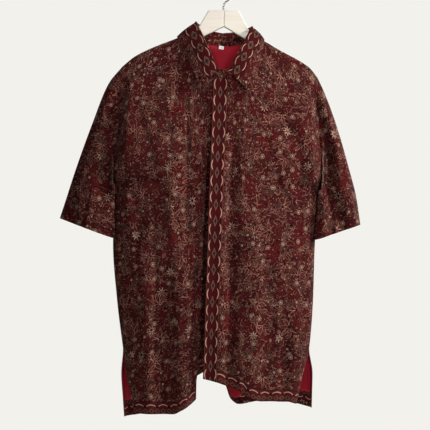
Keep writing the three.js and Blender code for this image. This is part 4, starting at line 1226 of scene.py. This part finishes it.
LEAF_END = 10  # the turn at which a point of the collar stands
ROLL_OUT = 0.6  # the roll's middle, out from the fold line
ROLL_UP = 0.9  # the roll's middle, above the fold line
ROLL_RADIUS = 2.2
LEAF_BULGE = 3
LEAF_LIFT = 0.6  # of the leaf off the straight line from fold to edge
LEAF_WALK_ROW = 30  # the row on which the way along the collar is measured
INSIDE_FOLD = 6.0  # walked over the roll before the fold's outer side
BORDER_MIDDLE = 0.0165  # of the border print, in metres out from the fold
leaf_edge = {
    # turn, x, y, z
    -1: np.array([(10, -51.7, -58, -238), (30, -68, -44.5, -194), (60, -85, -27, -153),
                  (90, -102, -7, -120.5), (105, -97, 9, -124), (120, -81, 25, -137), (150, -45, 48, -157),
                  (180, -2, 55, -163)]),
    1: np.array([(10, 66, -61, -256), (30, 73, -47, -209), (60, 82, -28, -167),
                 (90, 89.5, -7, -127), (105, 85, 9, -128), (120, 74, 25, -144), (150, 42, 48, -159),
                 (180, -2, 55, -163)]),
}


def leaf_grid():
    """Rows from inside the fold, over a small round roll, down to the leaf's edge. Past the roll a point lies
    a share t of the way from fold to edge, pushed out by a bulge of 4 t times 1 less t."""
    right = np.linspace(LEAF_END, 180, 130)
    fold = round_neck(fold_line, right, right[-2::-1])
    edge = round_neck(leaf_edge, right, right[-2::-1])
    outwards = away_from_neck(fold, 1.3)
    upwards = np.array([0, 0, 1.0])
    roll = np.linspace(np.pi * 1.15, 0.1, 12)[:, None, None]
    rolled = (fold + outwards * (ROLL_OUT + ROLL_RADIUS * np.cos(roll))
              + upwards * (ROLL_UP + ROLL_RADIUS * np.sin(roll)))
    base = fold + outwards * (ROLL_OUT + ROLL_RADIUS)
    way = np.linspace(0.02, 1, 46)[:, None, None]
    bulge = 4 * LEAF_BULGE * way * (1 - way) + np.minimum(way * 8, 1) * LEAF_LIFT
    return np.concatenate([rolled, base + (edge - base) * way + outwards * bulge])


def collar_print(name):
    """The collar's cloth: the border print for 31 mm beside the fold, with a dark line at each edge, and the
    field's print beyond it. Band coordinates run along the fold and out from it."""
    material = printed(name)
    tree = material.node_tree
    shader = tree.nodes["Principled BSDF"]
    field_tone = shader.inputs["Base Color"].links[0].from_socket
    _, along_band, out = place_on(tree, "Band")
    off = abs(out - BORDER_MIDDLE)
    tone = painted(tree, colour(79, 14, 19), colour(59, 15, 17), 0.4)
    tone = chain(tree, tone, along_band, out - BORDER_MIDDLE, BAND_PERIOD, 0.0125, 0.0086)
    tone = brackets(tree, tone, along_band, off, 0.0068, 0.0062, 0.0009)
    tone = painted(tree, tone, colour(44, 16, 15), off.band(0.0152, 0.0006, 0.0003))
    tone = painted(tree, field_tone, tone, off < 0.0158)
    tree.links.new(tone, shader.inputs["Base Color"])
    return material


leaf_points = leaf_grid()
leaf_out = walked_across(leaf_points.swapaxes(0, 1)).T - INSIDE_FOLD
leaf_walk = np.broadcast_to(walked_across(leaf_points)[LEAF_WALK_ROW], leaf_out.shape)
leaf_map = np.stack([leaf_walk, leaf_out], axis=2) / 1000
leaf = skin("collar_leaf_cloth", leaf_points / 1000, uv=leaf_map, band=leaf_map)
facing_from_neck(leaf, leaf_points)
leaf.data.materials.append(collar_print("collar_border_print"))
thick(leaf, CLOTH)
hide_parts("collar_leaf")
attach(leaf, "root")

# ---- Studio ----
# A pale round floor under the hanging shirt and a plain pale backdrop all round, with a soft lamp at the
# wearer's left, two soft spots from the front, a lamp behind, and the camera straight ahead.


def backdrop_paint(name, tone):
    """Even pale light seen from inside the backdrop, and nothing from outside it."""
    material = bpy.data.materials.new(name)
    material.use_nodes = True
    tree = material.node_tree
    tree.nodes.clear()
    side_seen = tree.nodes.new("ShaderNodeNewGeometry")
    glow = tree.nodes.new("ShaderNodeEmission")
    glow.inputs["Color"].default_value = tone
    clear = tree.nodes.new("ShaderNodeBsdfTransparent")
    mix = tree.nodes.new("ShaderNodeMixShader")
    output = tree.nodes.new("ShaderNodeOutputMaterial")
    tree.links.new(side_seen.outputs["Backfacing"], mix.inputs[0])
    tree.links.new(glow.outputs[0], mix.inputs[1])
    tree.links.new(clear.outputs[0], mix.inputs[2])
    tree.links.new(mix.outputs[0], output.inputs["Surface"])
    return material


bpy.ops.mesh.primitive_uv_sphere_add(segments=64, ring_count=32, radius=3.0, location=(0, 0, -0.5))
backdrop = bpy.context.object
backdrop.name = "backdrop"
backdrop.data.flip_normals()
backdrop.data.materials.append(backdrop_paint("backdrop_glow", colour(242, 241, 236)))
backdrop.visible_diffuse = False
backdrop.visible_glossy = False
backdrop.visible_shadow = False
backdrop.visible_transmission = False

floor_paint, _, _ = new_material("floor_paint", Roughness=0.9, Base_Color=colour(240, 239, 235))
bpy.ops.mesh.primitive_circle_add(vertices=96, radius=0.58, fill_type="NGON", location=(0, 0, -1.06))
floor = bpy.context.object
floor.name = "floor"
floor.data.materials.append(floor_paint)

sky = bpy.data.worlds.new("studio")
sky.use_nodes = True
sky.node_tree.nodes["Background"].inputs["Color"].default_value = (1.0, 0.99, 0.97, 1)
sky.node_tree.nodes["Background"].inputs["Strength"].default_value = 0.12
bpy.context.scene.world = sky


def soft_light(name, place, target, size, power, tone, cone=None):
    """A light aimed from a place at a target: a square panel, or a soft-edged spot where a cone is given."""
    lamp = bpy.data.lights.new(name, "SPOT" if cone else "AREA")
    lamp.energy = power
    lamp.color = tone
    if cone:
        lamp.shadow_soft_size = size
        lamp.spot_size = math.radians(cone)
        lamp.spot_blend = 1.0
    else:
        lamp.size = size
    made = bpy.data.objects.new(name, lamp)
    made.location = place
    aim = np.array(target) - np.array(place)
    made.rotation_euler = (math.atan2(math.hypot(aim[0], aim[1]), -aim[2]), 0, math.atan2(-aim[0], aim[1]))
    bpy.context.collection.objects.link(made)


soft_light("key_light", (2.3, -0.9, 1.1), (0, 0, -0.45), 0.45, 80, (1.0, 0.985, 0.95))
soft_light("front_light", (1.0, -3.05, 0.45), (0.05, 0, -0.52), 0.25, 212, (1.0, 0.98, 0.965), 17.5)
soft_light("neck_light", (-0.35, -3.1, 0.0), (-0.06, 0, -0.035), 0.3, 225, (1.0, 0.98, 0.955), 10.5)
soft_light("back_light", (1.9, 1.9, 0.5), (0, 0, -0.5), 0.5, 48, (1.0, 0.99, 0.98))

CAMERA_DISTANCE = 4.0
VIEW_WIDTH = 0.946  # of the picture, at the shirt's distance
VIEW_X = -0.0187
VIEW_Z = -0.5119
camera_lens = bpy.data.cameras.new("camera")
camera_lens.lens = camera_lens.sensor_width * CAMERA_DISTANCE / VIEW_WIDTH
camera = bpy.data.objects.new("camera", camera_lens)
camera.location = (VIEW_X, -CAMERA_DISTANCE, VIEW_Z)
camera.rotation_euler = (math.pi / 2, 0, 0)
bpy.context.collection.objects.link(camera)
bpy.context.scene.camera = camera
bpy.context.scene.view_settings.view_transform = "Standard"

bpy.context.view_layer.update()
